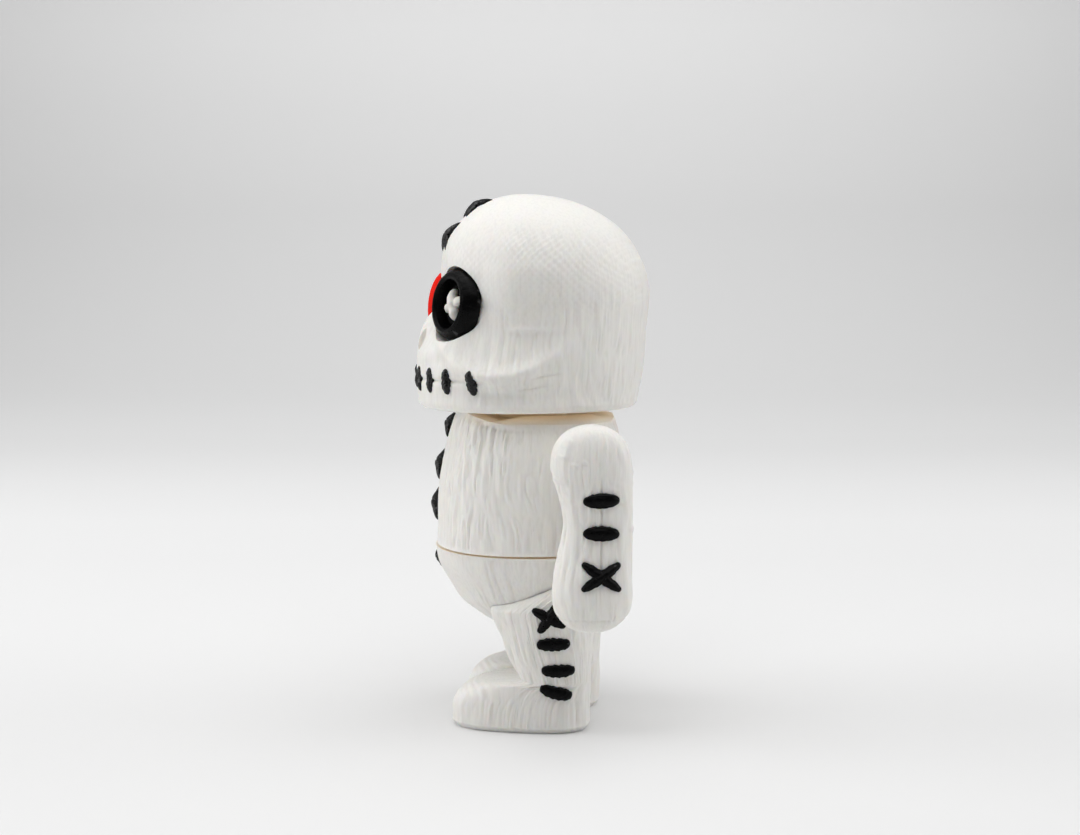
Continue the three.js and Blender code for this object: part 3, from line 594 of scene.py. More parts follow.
def nostril_pit(side):
    """A slanted ball that cuts one half of the nose."""
    slope = np.linspace(-pi / 2, pi / 2, 26)[1:-1, None]
    angle = ring_angles(40)[None, :]
    unit = stacked(np.cos(slope) * np.cos(angle), np.cos(slope) * np.sin(angle), np.sin(slope))
    radii = np.array((NOSTRIL["width"] / 2, NOSTRIL["depth"], NOSTRIL["tall"] / 2))
    pit = skin("pit", unit * radii, (0, 0, -radii[2]), (0, 0, radii[2]))
    move(pit, turned(side * NOSTRIL["lean"], "Y"))
    aside = side * (NOSTRIL["bridge"] + NOSTRIL["width"]) / 2
    front = point_of(head_points, 0, NOSE_HEIGHT).y
    return move(pit, Matrix.Translation((aside, front, HEAD_BOTTOM + NOSE_HEIGHT)))


def eye_frame(side):
    turn, tilt = radians(EYE_TURN), radians(EYE_TILT)
    outward = Vector((side * sin(turn) * cos(tilt), -cos(turn) * cos(tilt), sin(tilt)))
    return frame_at(head_point(side * EYE_SEAT_TURN, EYE_HEIGHT) + BUTTON_STAND * outward, outward)


def eye_seat(matrix):
    depth = BUTTON_SIDE + BUTTON_SUNK + SEAT_GAP
    radius = BUTTON_RADIUS + SEAT_GAP
    return move(lathe("seat", [(radius, -depth), (radius, BUTTON_RADIUS)]), matrix)


def fine_profile(points, rounding=0.35, steps=4):
    """A profile with each inner corner rounded off by short steps."""
    points = [Vector(p) for p in points]
    made = [points[0]]
    for before, corner, after in zip(points, points[1:], points[2:]):
        back, ahead = before - corner, after - corner
        reach = min(rounding, back.length / 2.2, ahead.length / 2.2)
        start, end = corner + back.normalized() * reach, corner + ahead.normalized() * reach
        for k in range(steps + 1):
            s = k / steps
            made.append((1 - s) ** 2 * start + 2 * s * (1 - s) * corner + s * s * end)
    made.append(points[-1])
    return [tuple(p) for p in made]


def button(name, seed):
    """A dished button whose rim is a little ragged."""
    outline = [
        (0.6, -BUTTON_SIDE - BUTTON_SUNK),
        (BUTTON_RADIUS, -BUTTON_SIDE - BUTTON_SUNK),
        (BUTTON_RADIUS, -BUTTON_SIDE),
        (BUTTON_RADIUS - 0.55, -BUTTON_SIDE * 0.5),
        (BUTTON_FACE_RADIUS, -0.35),
        ((DISH_RADIUS + BUTTON_FACE_RADIUS) / 2, 0),
        (DISH_RADIUS + 0.3, -0.6),
        (DISH_RADIUS, -DISH_DEPTH + 0.8),
        (DISH_RADIUS - 0.6, -DISH_DEPTH),
        (0.6, -DISH_DEPTH),
    ]
    obj = lathe(name, fine_profile(outline), BUTTON_SIDES)
    points = np.array([v.co for v in obj.data.vertices]) / MM
    radius, angle = np.hypot(points[:, 0], points[:, 1]), np.arctan2(points[:, 1], points[:, 0])
    share = angle / (2 * pi) + 0.5
    ragged = 0.09 * noise(share * 70, points[:, 2] / 0.8, 70, seed)
    turning_marks = 0.05 * np.cos(2 * pi * radius / 0.9) * step(1, 2, radius)
    grown = radius + ragged * step(DISH_RADIUS + 0.2, BUTTON_FACE_RADIUS, radius)
    points[:, :2] *= (grown / np.maximum(radius, SMALLEST))[:, None]
    points[:, 2] += turning_marks * (points[:, 2] > -DISH_DEPTH - 0.01)
    obj.data.vertices.foreach_set("co", (points * MM).ravel())
    return obj


def thread_cross(name, seed):
    """Two fat lumpy threads that cross in the button's dish."""
    half = THREAD_LENGTH / 2 - THREAD_RADIUS
    part = np.linspace(-1, 1, 40)[:, None]
    angle = ring_angles(24)[None, :]
    strands = []
    for k, (turn, lift) in enumerate(((45, 0), (-45, 0.5))):
        radius = THREAD_RADIUS * (0.3 + 0.78 * round_off(part, 3.2))
        lumps = noise(angle / (2 * pi) * 6, part * 3 + 7, 6, seed + k)
        radius = radius * (1 + 0.09 * lumps + 0.07 * np.cos(5 * part * 2 + angle))
        arch = (THREAD_ARCH + lift) * (1 - part**2)
        middle = -DISH_DEPTH + SEAT_GAP * 0.5 + THREAD_RADIUS + arch
        grid = stacked(part * half, radius * np.sin(angle), middle + radius * np.cos(angle))
        strands.append(move(skin("strand", grid[::-1]), turned(turn, "Z")))
    strands[0].name = name
    return combine(strands[0], "UNION", strands[1:])


# Stitches


def pressed(tree, point, outward):
    """The place where a line through a point, along a direction, first meets a shell from outside."""
    return tree.ray_cast(point + outward * PRESS_FROM, -outward)[0]


def spot_on(tree, place, outward):
    """The point of a shell under a place beside it, with the shell's directions there."""
    outward = Vector(outward).normalized()
    side = UP.cross(outward).normalized()
    rise = outward.cross(side).normalized()
    across, upright = (
        (pressed(tree, place + way, outward) - pressed(tree, place - way, outward)).normalized()
        for way in (side * SPOT_REACH, rise * SPOT_REACH)
    )
    middle = pressed(tree, place, outward)
    return {"middle": middle, "normal": across.cross(upright).normalized(), "upright": upright}


# The rise of a strand from its middle to its side, with a fine rim near its edge.
STRAND_RISE = through(
    (0, 1), (0.3, 0.93), (0.55, 0.77), (0.7, 0.6), (0.8, 0.56), (0.88, 0.6), (0.96, 0.42), (1, 0.1)
)


def stitch_bar(tree, spot, bar, turn, seed, over=1.0):
    """A bar of twisted thread that follows the shell and is sunk a little into it."""
    normal = spot["normal"]
    along = spot["upright"].copy()
    along.rotate(turned(turn, normal, 3))
    across = along.cross(normal).normalized()
    draws = np.random.default_rng(seed)
    phase, skew = draws.uniform(0, 6.28, 3), draws.uniform(-1, 1, 2)
    sides = np.sin(np.linspace(-pi / 2, pi / 2, STITCH_SIDES))
    rows = []
    for part in np.linspace(-1, 1, STITCH_STEPS + 1):
        full = bar.blunt + (1 - bar.blunt) * float(round_off(part, bar.fullness))
        wave = 5 * pi * part
        ragged = bar.ragged
        edges = [
            full * (1 + ragged * sin(wave + near) + 0.5 * ragged * sin(pace * wave + far))
            for pace, near, far in ((2.3, phase[0], phase[1]), (2.1, phase[1], phase[2]))
        ]
        shift = 0.05 * bar.width * (skew[0] * part + skew[1] * part * part)
        groove = 0.5 * sin(0.35 * wave + phase[2])
        row = []
        for side in sides:
            rise = float(STRAND_RISE(abs(side))) - 0.11 * swell(side - groove, 0.13)
            row.append((side, full * bar.height * over * rise))
        row += [(1, -STITCH_SUNK), (0, -STITCH_SUNK), (-1, -STITCH_SUNK)]
        middle = spot["middle"] + along * (part * bar.length / 2)
        points = []
        for side, lift in row:
            flat = side * edges[0 if side < 0 else 1] * bar.width / 2 + shift
            points.append(pressed(tree, middle + across * flat, normal) + normal * lift)
        rows.append(points)
    return skin("bar", np.array(rows))


def stitch_cross(tree, spot, bar, turn, seed):
    under = stitch_bar(tree, spot, bar, turn + bar.slant, seed)
    upper = stitch_bar(tree, spot, bar, turn - bar.slant, seed + 1, UPPER_STRAND)
    return combine(under, "UNION", [upper])


def front_cross(tree, points_of, height, rise, bar, seed):
    """A cross on a shell's middle line, where its front faces ahead and up by a rise."""
    spot = spot_on(tree, point_of(points_of, 0, height), (0, -1, rise))
    return stitch_cross(tree, spot, bar, 0, seed)


# Finishes

STREAK_SCALE = 1500
GRAIN_SCALE = 5200
# Painted light in the gaps at the waist and behind the throat: a warm base colour, and an emission that is
# a painted glow standing in for light through the plastic
PAINTED_GAP_LIGHT = (0.92, 0.8, 0.62)
PAINTED_GAP_GLOW = (0.1, 0.068, 0.036)
INNER_LIGHT = {
    "Subsurface_Weight": 0.3,
    "Subsurface_Radius": (1, 0.6, 0.3),
    "Subsurface_Scale": 0.0011,
}
# Satin whites: colour, painted shade in crevices, roughness and whether a painted warm light and glow show
# in the gaps
WHITES = {
    "shell": ((0.84, 0.825, 0.79), (0.66, 0.63, 0.57), 0.52, True),
    "limb": ((0.84, 0.825, 0.79), (0.66, 0.63, 0.57), 0.52, False),
    "thread": ((0.83, 0.81, 0.77), (0.6, 0.57, 0.5), 0.5, False),
    "pin": ((0.86, 0.84, 0.8), (0.7, 0.65, 0.55), 0.55, True),
}
# Glossy colours: colour, painted highlight on edges, roughness and shine
GLOSSES = {
    "stitch": ((0.001, 0.001, 0.0011), (0.05, 0.05, 0.052), 0.26, 0.28),
    "black": ((0.001, 0.001, 0.0011), (0.04, 0.04, 0.042), 0.32, 0.08),
    "red": ((0.78, 0.012, 0.004), (0.85, 0.06, 0.01), 0.4, 0.05),
}


def greys(stops):
    return [(spot, (grey,) * 3) for spot, grey in stops]


def node_material(name, roughness, shine):
    """A new material with its node tree, the inputs of its shader and object coordinates."""
    material = bpy.data.materials.new(name)
    material.use_nodes = True
    tree = material.node_tree
    shader = tree.nodes["Principled BSDF"].inputs
    fill_all(tree, shader, Roughness=roughness, Specular_IOR_Level=shine)
    return material, tree, shader, add_node(tree, "TexCoord")["Object"]


def fill(tree, socket, value):
    """Links a socket to another one, or gives it a plain value."""
    if isinstance(value, bpy.types.NodeSocket):
        tree.links.new(value, socket)
    else:
        socket.default_value = value


def fill_all(tree, sockets, **values):
    """Fills sockets by name, with _ for a space."""
    for name, value in values.items():
        fill(tree, sockets[name.replace("_", " ")], value)


def add_node(tree, kind, **values):
    """The outputs of a new node, whose inputs are filled by name."""
    node = tree.nodes.new(f"ShaderNode{kind}")
    fill_all(tree, node.inputs, **values)
    return node.outputs


def noise_node(tree, place, scale, detail, stretch=(1, 1, 1)):
    mapped = add_node(tree, "Mapping", Vector=place, Scale=stretch)["Vector"]
    return add_node(tree, "TexNoise", Vector=mapped, Scale=scale, Detail=detail)["Fac"]


def ramp_node(tree, value, stops):
    ramp = tree.nodes.new("ShaderNodeValToRGB")
    elements = ramp.color_ramp.elements
    while len(elements) < len(stops):
        elements.new(0.5)
    for element, (position, colour) in zip(elements, stops):
        element.position = position
        element.color = (*colour, 1)
    tree.links.new(value, ramp.inputs["Fac"])
    return ramp.outputs["Color"]


def bump_node(tree, height, distance, strength, **before):
    return add_node(tree, "Bump", Height=height, Distance=distance, Strength=strength, **before)["Normal"]


def mix_node(tree, factor, first, second):
    """A blend of two colours, the second of which is a socket or a plain one."""
    mix = tree.nodes.new("ShaderNodeMix")
    mix.data_type = "RGBA"
    if isinstance(second, tuple):
        second = (*second, 1)
    fill_all(tree, mix.inputs, Factor=factor, A=first, B=second)
    return mix.outputs["Result"]


def span_node(tree, value, low, high):
    """A value scaled to run from 0 at low to 1 at high."""
    return add_node(tree, "MapRange", Value=value, From_Min=low, From_Max=high)["Result"]


def math_node(tree, operation, *values):
    """A maths node on sockets or plain numbers."""
    node = tree.nodes.new("ShaderNodeMath")
    node.operation = operation
    for socket, value in zip(node.inputs, values):
        fill(tree, socket, value)
    return node.outputs["Value"]


def painted_glow_bands(tree, place):
    """Mask of the painted warm light and glow: 1 inside the gap at the waist and behind the throat, and 0
    elsewhere.
    """
    parts = add_node(tree, "SeparateXYZ", Vector=place)
    low, high = (WAIST_LEVEL - 2) * MM, (HEAD_BOTTOM + 2) * MM
    height = span_node(tree, parts["Z"], low, high)
    waist = [(WAIST_LEVEL - 0.1, 0), (WAIST_LEVEL, 0.6), (CHEST_BOTTOM, 0.6), (CHEST_BOTTOM + 0.1, 0)]
    neck = [(NECK_WELL_LEVEL - 0.8, 0), (CHEST_TOP - 0.6, 0.6), (HEAD_BOTTOM, 1), (HEAD_BOTTOM + 0.1, 0)]
    waist_band, neck_band = (
        ramp_node(tree, height, greys([((level * MM - low) / (high - low), grey) for level, grey in band]))
        for band in (waist, neck)
    )
    behind = span_node(tree, parts["Y"], -18 * MM, -11 * MM)
    return math_node(tree, "MULTIPLY_ADD", neck_band, behind, waist_band)


def pointedness(tree):
    return add_node(tree, "NewGeometry")["Pointiness"]


def white_plastic(name, colour, painted_crevice_shade, roughness, paints_gap_glow):
    """Satin white plastic: fine streaks, painted shade in its crevices and, if asked, a painted warm light
    and glow in the gaps.
    """
    material, tree, shader, place = node_material(name, roughness, 0.35)
    streaks = noise_node(tree, place, STREAK_SCALE, 3, (1, 1, 0.05))
    light, dark = tuple(min(1, c * 1.015) for c in colour), tuple(c * 0.965 for c in colour)
    base = ramp_node(tree, streaks, [(0.32, dark), (0.55, light)])
    # Painted shade: crevices, where pointiness is low, take the darker crevice colour
    base = mix_node(tree, ramp_node(tree, pointedness(tree), greys([(0.4, 1), (0.5, 0)])), base, painted_crevice_shade)
    if paints_gap_glow:
        # Painted warm light and glow, in the gaps at the waist and behind the throat
        glow = painted_glow_bands(tree, place)
        base = mix_node(tree, glow, base, PAINTED_GAP_LIGHT)
        fill_all(tree, shader, Emission_Color=(*PAINTED_GAP_GLOW, 1), Emission_Strength=glow)
    grain = noise_node(tree, place, GRAIN_SCALE, 2)
    rough = ramp_node(tree, grain, greys([(0.3, roughness - 0.06), (0.7, roughness + 0.06)]))
    normal = bump_node(tree, streaks, 0.00016, 0.5)
    normal = bump_node(tree, grain, 0.00004, 0.4, Normal=normal)
    fill_all(tree, shader, Base_Color=base, Roughness=rough, Normal=normal, **INNER_LIGHT)
    return material


def gloss_plastic(name, colour, painted_edge_highlight, roughness, shine):
    """Semi-gloss plastic with fine drawn lines and a painted highlight on its edges."""
    material, tree, shader, place = node_material(name, roughness, shine)
    # Painted highlight: sharp outer edges, where pointiness is high, take the lighter edge colour
    edges = ramp_node(tree, pointedness(tree), [(0.53, colour), (0.6, painted_edge_highlight)])
    grain = noise_node(tree, place, STREAK_SCALE, 3, (1, 1, 2.5))
    rough = ramp_node(tree, grain, greys([(0.3, roughness - 0.08), (0.7, roughness + 0.1)]))
    normal = bump_node(tree, grain, 0.00012, 0.5)
    fill_all(tree, shader, Base_Color=edges, Roughness=rough, Normal=normal)
    return material


# Chest

CHEST_FRONT_SHAPE = through((0, 1), (0.1, 0.998), (0.43, 0.98), (0.73, 0.905), (0.93, 0.82), (1, 0.77))
CHEST_BACK_SHAPE = through((0, 0.98), (0.4, 1), (0.8, 0.97), (1, 0.9))
CHEST_SIDE_SHAPE = through((0, 0.995), (0.4, 1), (0.75, 0.98), (0.93, 0.94), (1, 0.9))
SHOULDER_SQUARE_SHAPE = through((0, 0), (0.3, 0.35), (0.6, 1), (0.85, 1), (1, 0.6))
RIM_DROP = through((0, 0), (30, 0.2), (50, 1.3), (68, 2.3), (100, 3.1), (135, 2.9), (180, 1.8))
SHOULDER_RISE = through((62, 0), (84, 2), (105, 2.5), (140, 2.2), (165, 0.6), (180, 0.2))
CHEST_TOP_INSETS = through((0, 1), (1, 0.93), (2, 0.8), (3, 0.6))
CHEST_TOP_RISES = through((0, 0), (1, 0.6), (2, 1), (3, 1))


def chest_points(angle, share, inset=1.0):
    """Points of the chest's wall, with share 0 at the waist and 1 at the rim."""
    front = CHEST_FRONT * CHEST_FRONT_SHAPE(share) * inset
    back = CHEST_BACK * CHEST_BACK_SHAPE(share) * inset
    side = CHEST_WIDTH / 2 * CHEST_SIDE_SHAPE(share) * inset
    squarer = (SHOULDER_SQUARENESS - CHEST_SQUARENESS) * SHOULDER_SQUARE_SHAPE(share)
    squareness = np.where(np.cos(angle) > 0, CHEST_SQUARENESS, CHEST_SQUARENESS + squarer)
    points, around = section_points(angle, 0 * share, front, back, side, side, squareness)
    points[..., 2] = CHEST_BOTTOM + share * (CHEST_HEIGHT - RIM_DROP(around))
    return points, around


def chest_grid(spacing):
    """The chest's lip at the waist, its wall, and its top down into the neck's well."""
    angle = ring_angles(round(CHEST_GIRTH / spacing))[None, :]
    share = np.linspace(0.005, 1, round(CHEST_HEIGHT / spacing))[:, None]
    wall, around = chest_points(angle, share)
    lip, lip_around = chest_points(angle, np.zeros((1, 1)), 0.985)
    place = np.linspace(0, 3, round(12 / spacing))[1:, None]
    top, top_around = chest_points(angle, np.ones_like(place), CHEST_TOP_INSETS(place))
    level = top[..., 2] + CHEST_TOP_RISES(place) * SHOULDER_RISE(top_around)
    level = np.maximum(level, NECK_WELL_LEVEL)
    top[..., 2] = level + (NECK_WELL_LEVEL - level) * step(2, 3, place)
    around = np.concatenate([lip_around, around, top_around])
    wall_share = np.concatenate([np.zeros((1, 1)), share, np.ones_like(place)])
    return measured(np.concatenate([lip, wall, top]), around, angle, wall_share)


def chest_fabric(grid, around, share, wall_share):
    """Wavy strands, fainter in front, and a shallow fold under the shoulder."""
    height = grid[..., 2]
    strands = yarns(share, height, CHEST_GIRTH, CHEST_STRANDS, seed=51, sway=CHEST_SWAY)
    ends = step(0, 0.05, wall_share) * step(1.0, 0.96, wall_share)
    front = 1 - 0.5 * swell(around, 14)
    fold = swell(around - SHOULDER_FOLD["turn"], SHOULDER_FOLD["turn_reach"])
    fold = fold * swell(height - CHEST_BOTTOM - SHOULDER_FOLD["height"], SHOULDER_FOLD["reach"])
    return strands * ends * front - SHOULDER_FOLD["depth"] * fold * ends


def shoulder_frame(side, gap=ARM_GAP / 2):
    """The frame of a shoulder, a gap short of the arm's inner face, with Z out to the side."""
    return frame_at((side * (ARM_OFFSET - gap), SHOULDER_BACK, SHOULDER_LEVEL), (side, 0, 0))


def shoulder_boss(side):
    profile = [(SHOULDER_BOSS_ROOT, -SHOULDER_BOSS_LENGTH), (SHOULDER_BOSS_RADIUS, 0)]
    return move(lathe("boss", profile, BOSS_SIDES), shoulder_frame(side, ARM_GAP))


# Pelvis

BELLY_SHAPE = through(
    (0, 0.22), (0.05, 0.365), (0.11, 0.455), (0.2, 0.565), (0.36, 0.73), (0.57, 0.85), (0.8, 0.96), (1, 1)
)


def pelvis_points(angle, share, grown=0):
    """Points of the lower body, with share 0 at the bottom of the belly and 1 at the waist."""
    reaches = (PELVIS_FRONT, PELVIS_BACK, PELVIS_WIDTH / 2, PELVIS_WIDTH / 2)
    full = BELLY_SHAPE(share)
    level = BELLY_HEIGHT - grown + share * PELVIS_HEIGHT
    return section_points(angle, level, *(reach * full + grown for reach in reaches), PELVIS_SQUARENESS)


def pelvis_grid(spacing, grown=0):
    share = (np.linspace(0, 1, round(1.4 * PELVIS_HEIGHT / spacing)) ** 1.5)[:, None]
    return shell_grid(pelvis_points, PELVIS_GIRTH, spacing, share, grown)


def pelvis_fabric(grid, around, share, wall_share):
    strands = yarns(share, grid[..., 2], PELVIS_GIRTH, PELVIS_STRANDS, seed=71, sway=PELVIS_SWAY)
    return strands * step(1, 0.95, wall_share) * step(0, 0.15, wall_share)


def hip_frame(side):
    """The frame of a hip, on the belly's surface with Z out along the line from the belly's middle."""
    drop = sqrt(BELLY_ROUND**2 - HIP_PIN_SIDE**2 - HIP_PIN_BACK**2)
    down = Vector((side * HIP_PIN_SIDE, HIP_PIN_BACK, -drop)).normalized()
    middle = Vector((0, 0, BELLY_HEIGHT + BELLY_ROUND))
    return frame_at(pressed(press_tree(pelvis_grid(PRESS_STEP)[0]), middle, down), down)


def belly_sweep(matrix):
    """The belly, grown by the hip's gap, at steps of the left leg's swivel as the leg sees them."""
    tools = []
    for share in (0, 0.5, 1):
        belly = skin("belly", pelvis_grid(PRESS_STEP / 2, HIP_GAP)[0])
        tools.append(move(belly, matrix @ turned(share * HIP_SWIVEL, "Z") @ matrix.inverted()))
    return tools


# Arms

ARM_FRONT_SHAPE = through(
    (0, 0.98), (0.12, 0.98), (0.23, 0.98), (0.36, 0.925), (0.5, 0.85), (0.62, 0.885), (0.8, 1), (1, 1.03)
)
ARM_THICKNESS_SHAPE = through(
    (0, 0.96), (0.22, 1), (0.36, 0.9), (0.5, 0.86), (0.62, 0.91), (0.8, 1), (1, 1)
)


def arm_points(angle, height):
    """Points of the left arm at heights above its lowest point."""
    share = height / (ARM_DROP + ARM_TOP_ROUND)
    top = round_off(np.maximum(height - ARM_DROP, 0) / ARM_TOP_ROUND, ARM_END_FULLNESS)
    hand = round_off(np.maximum(HAND_ROUND - height, 0) / HAND_ROUND, ARM_END_FULLNESS)
    full = np.maximum(np.minimum(top, hand), 0.002)
    ends = np.where(full < 1, round_off(1 - full, 2.6), 1)
    soft = np.where(full < 1, 0.35 + 0.65 * full, 1)
    thick = ARM_THICKNESS * ARM_THICKNESS_SHAPE(share)
    middle = thick * 0.45
    front = (ARM_DEPTH * ARM_FRONT_SHAPE(share) - ARM_DEPTH / 2) * full
    outer = np.maximum((thick - middle) * soft * ends, SMALLEST)
    inner = np.maximum(middle * ends, SMALLEST)
    return section_points(
        angle, ARM_BOTTOM + height, front, ARM_DEPTH / 2 * full, outer, inner, ARM_SQUARENESS,
        ARM_OFFSET + middle, SHOULDER_BACK,
    )


def arm_grid(spacing):
    hand_slope = np.linspace(0.06, pi / 2, round(HAND_ROUND * 1.57 / spacing))
    top_slope = np.linspace(0, pi / 2 - 0.06, round(ARM_TOP_ROUND * 1.57 / spacing))
    hand = HAND_ROUND * (1 - np.cos(hand_slope))
    wall = np.arange(HAND_ROUND + spacing, ARM_DROP, spacing)
    height = np.concatenate([hand, wall, ARM_DROP + ARM_TOP_ROUND * np.sin(top_slope)])
    return shell_grid(arm_points, ARM_GIRTH, spacing, height[:, None])


def arm_fabric(grid, around, share, height):
    """Lengthwise strands, a seam down the outer side, short wrinkles across it and a hem at the hand."""
    x, y = grid[..., 0], grid[..., 1]
    strands = yarns(share, height, ARM_GIRTH, ARM_STRANDS, seed=91)
    outer = step(ARM_OFFSET + 4, ARM_OFFSET + 8, x)
    seam = swell(y - ARM_STITCH_BACK, SEAM_WIDTH) * step(11, 15, height) * step(41, 36, height) * outer
    wrinkle = noise(share * 19, height / 1.3 + 9 * share, 19, 95)
    patch = step(-0.4, 0.2, waves(share, height, WRINKLE_PATCHES)) * step(14, 20, height)
    aside = step(1.5, 4, np.abs(y - ARM_STITCH_BACK))
    wrinkles = WRINKLE_HEIGHT * np.maximum(wrinkle, 0) * patch * aside
    ends = step(0, 4, height) * step(ARM_DROP + ARM_TOP_ROUND, ARM_DROP + 4, height)
    hem = HEM_DEPTH * swell(height - HEM_HEIGHT, 0.35) * step(ARM_OFFSET, ARM_OFFSET + 5, x)
    return (strands + wrinkles) * (0.3 + 0.7 * ends) - SEAM_DEPTH * seam - hem


# Legs

FOOT_SHAPE = through(
    (0, 1), (0.35, 1), (0.5, 0.98), (0.69, 0.905), (0.82, 0.8), (0.9, 0.7), (0.96, 0.54), (0.985, 0.36),
    (1, 0.12), (1.04, 0)
)


def leg_points(angle, height):
    """Points of the left leg at heights above the ground."""
    edge = SOLE_INSET * np.maximum(SOLE_EDGE - height, 0) / SOLE_EDGE
    thigh = np.clip((height - FOOT_HEIGHT) / THIGH_REACH, 0, 1)
    shin = ANKLE_FRONT + (THIGH_FRONT - ANKLE_FRONT) * thigh
    front = shin + (FOOT_FRONT - ANKLE_FRONT) * FOOT_SHAPE(height / FOOT_HEIGHT)
    slant = THIGH_TOP_FRONT - (height - THIGH_TOP_HEIGHT) * THIGH_TOP_SLOPE
    front = front - soft_excess(front - slant, THIGH_TOP_BEND)
    heel = HEEL_BACK + (THIGH_BACK - HEEL_BACK) * thigh
    outer = LEG_SPREAD + LEG_WIDTH + THIGH_FLARE * thigh
    full = round_off(np.maximum(height - THIGH_ROUND_HEIGHT, 0) / THIGH_ROUND, 2)
    depth = ((front + heel) / 2 - edge) * full
    width = ((outer - LEG_SPREAD) / 2 - edge) * full
    x, y = (LEG_SPREAD + outer) / 2, (heel - front) / 2
    return section_points(angle, height, depth, depth, width, width, LEG_SQUARENESS, x, y)


def leg_grid(spacing):
    sole = np.linspace(0, SOLE_EDGE, max(3, round(1.5 * SOLE_EDGE / spacing)))
    low = np.arange(SOLE_EDGE + spacing, FOOT_HEIGHT * 0.6, spacing)
    toe = np.arange(FOOT_HEIGHT * 0.6, FOOT_HEIGHT * 1.06, spacing * 0.4)
    shank = np.arange(FOOT_HEIGHT * 1.06 + spacing, THIGH_ROUND_HEIGHT + THIGH_ROUND * 0.97, spacing)
    height = np.concatenate([sole, low, toe, shank])
    return shell_grid(leg_points, LEG_GIRTH, spacing, height[:, None])


def leg_fabric(grid, around, share, height):
    """Lengthwise strands, rings over the toe, a ridge down the shin and two lines by the heel."""
    x, y = grid[..., 0], grid[..., 1]
    strands = yarns(share, height, LEG_GIRTH, LEG_STRANDS, seed=111)
    toe = step(0.55, 0.75, height / FOOT_HEIGHT) * step(1.15, 1.0, height / FOOT_HEIGHT) * step(2, -2, y)
    from_ankle = np.hypot(x - (LEG_SPREAD + LEG_WIDTH / 2), y + ANKLE_FRONT)
    from_ankle = from_ankle + waves(share, height, TOE_RING_BEND)
    rings = TOE_RING_HEIGHT * np.cos(2 * pi * from_ankle / TOE_RING_PITCH)
    ridge = SHIN_RIDGE["proud"] * swell(around - SHIN_RIDGE["turn"], SHIN_RIDGE["turn_reach"])
    ridge = ridge * step(FOOT_HEIGHT, FOOT_HEIGHT + 5, height)
    outer = step(LEG_SPREAD + LEG_WIDTH - 7, LEG_SPREAD + LEG_WIDTH - 4, x) * step(9, 7.5, height)
    lines = HEEL_LINE_DEPTH * sum(swell(y - line, 0.3) for line in HEEL_LINES) * outer
    return strands * (1 - toe) * step(0, 2, height) + rings * toe + ridge - lines


# The pieces


def make_shell(name, grid_of, fabric_of, tools, joined=(), high=None):
    """A shell at its finest, raised by its cloth, and the coarse one that stitches are pressed on."""
    grid, *measures = grid_of(FINE_STEP)
    relief = fabric_of(grid, *measures)
    shell = skin(name, grid + grid_normals(grid) * relief[..., None], high=high)
    if joined:
        combine(shell, "UNION", joined)
    return combine(shell, "DIFFERENCE", tools), press_tree(grid_of(PRESS_STEP)[0])


def sew(stitch, name, node, body, finishes, turn=0):
    """Names and dresses a stitch of the head or the trunk."""
    stitch.name = name
    dress(stitch, node, body, finishes["stitch"], turn)


def make_head(finishes):
    eyes = {"left": eye_frame(1), "right": eye_frame(-1)}
    tools = [pin_socket(NECK_PIN, Matrix.Translation((0, 0, HEAD_BOTTOM)))]
    tools += [eye_seat(matrix) for matrix in eyes.values()]
    tools += [nostril_pit(1), nostril_pit(-1)]
    crown = (0, -CROWN_FORWARD, HEAD_BOTTOM + HEAD_HEIGHT)
    shell, tree = make_shell("head_skin", head_grid, head_fabric, tools, high=crown)
    dress(shell, "head_shell", "head", finishes["shell"], HEAD_TURN)
    colours = {"left": ("stitch_black", "black"), "right": ("button_red", "red")}
    for k, (side, matrix) in enumerate(eyes.items()):
        slot, finish = colours[side]
        disc = move(button(f"{side}_button", seed=201 + k), matrix)
        dress(disc, f"{side}_eye_button", "head", finishes[finish], HEAD_TURN, sharp=30)
        thread = move(thread_cross(f"{side}_thread", seed=211 + 5 * k), matrix)
        dress(
            thread, f"{side}_eye_thread", "head", finishes["thread"], HEAD_TURN, sharp=80
        )
    for k, (name, drop) in enumerate(FOREHEAD_STITCH_DROPS.items()):
        height = HEAD_HEIGHT - drop
        rise = height / HEAD_HEIGHT
        stitch = front_cross(tree, head_points, height, rise, FOREHEAD_STITCH, seed=221 + 3 * k)
        sew(stitch, f"forehead_cross_{name}", f"forehead_stitch_{name}", "head", finishes, HEAD_TURN)
    turns = [-turn for turn in reversed(MOUTH_STITCH_TURNS)] + list(MOUTH_STITCH_TURNS)
    for k, turn in enumerate(turns):
        outward = (sin(radians(turn)), -cos(radians(turn)), 0)
        spot = spot_on(tree, head_point(turn, MOUTH_HEIGHT), outward)
        lean = copysign(MOUTH_STITCH.slant, turn)
        stitch = stitch_bar(tree, spot, MOUTH_STITCH, lean, seed=231 + k)
        sew(stitch, f"mouth_thread_{k + 1}", f"mouth_stitch_{k + 1}", "head", finishes, HEAD_TURN)


def make_chest(finishes):
    tools = [
        pin_socket(NECK_PIN, Matrix.Translation((0, 0, HEAD_BOTTOM))),
        pin_socket(WAIST_PIN, Matrix.Translation((0, 0, CHEST_BOTTOM))),
        pin_socket(SHOULDER_PIN, shoulder_frame(1)),
        pin_socket(SHOULDER_PIN, shoulder_frame(-1)),
    ]
    bosses = [shoulder_boss(1), shoulder_boss(-1)]
    shell, tree = make_shell("chest_skin", chest_grid, chest_fabric, tools, bosses)
    dress(shell, "chest_shell", "chest", finishes["shell"])
    for k, (name, (drop, length)) in enumerate(CHEST_STITCH_PLACES.items()):
        bar = CHEST_STITCH._replace(length=length)
        stitch = front_cross(tree, chest_points, 1 - drop / CHEST_HEIGHT, 0, bar, seed=251 + 3 * k)
        sew(stitch, f"chest_cross_{name}", f"chest_stitch_{name}", "chest", finishes)


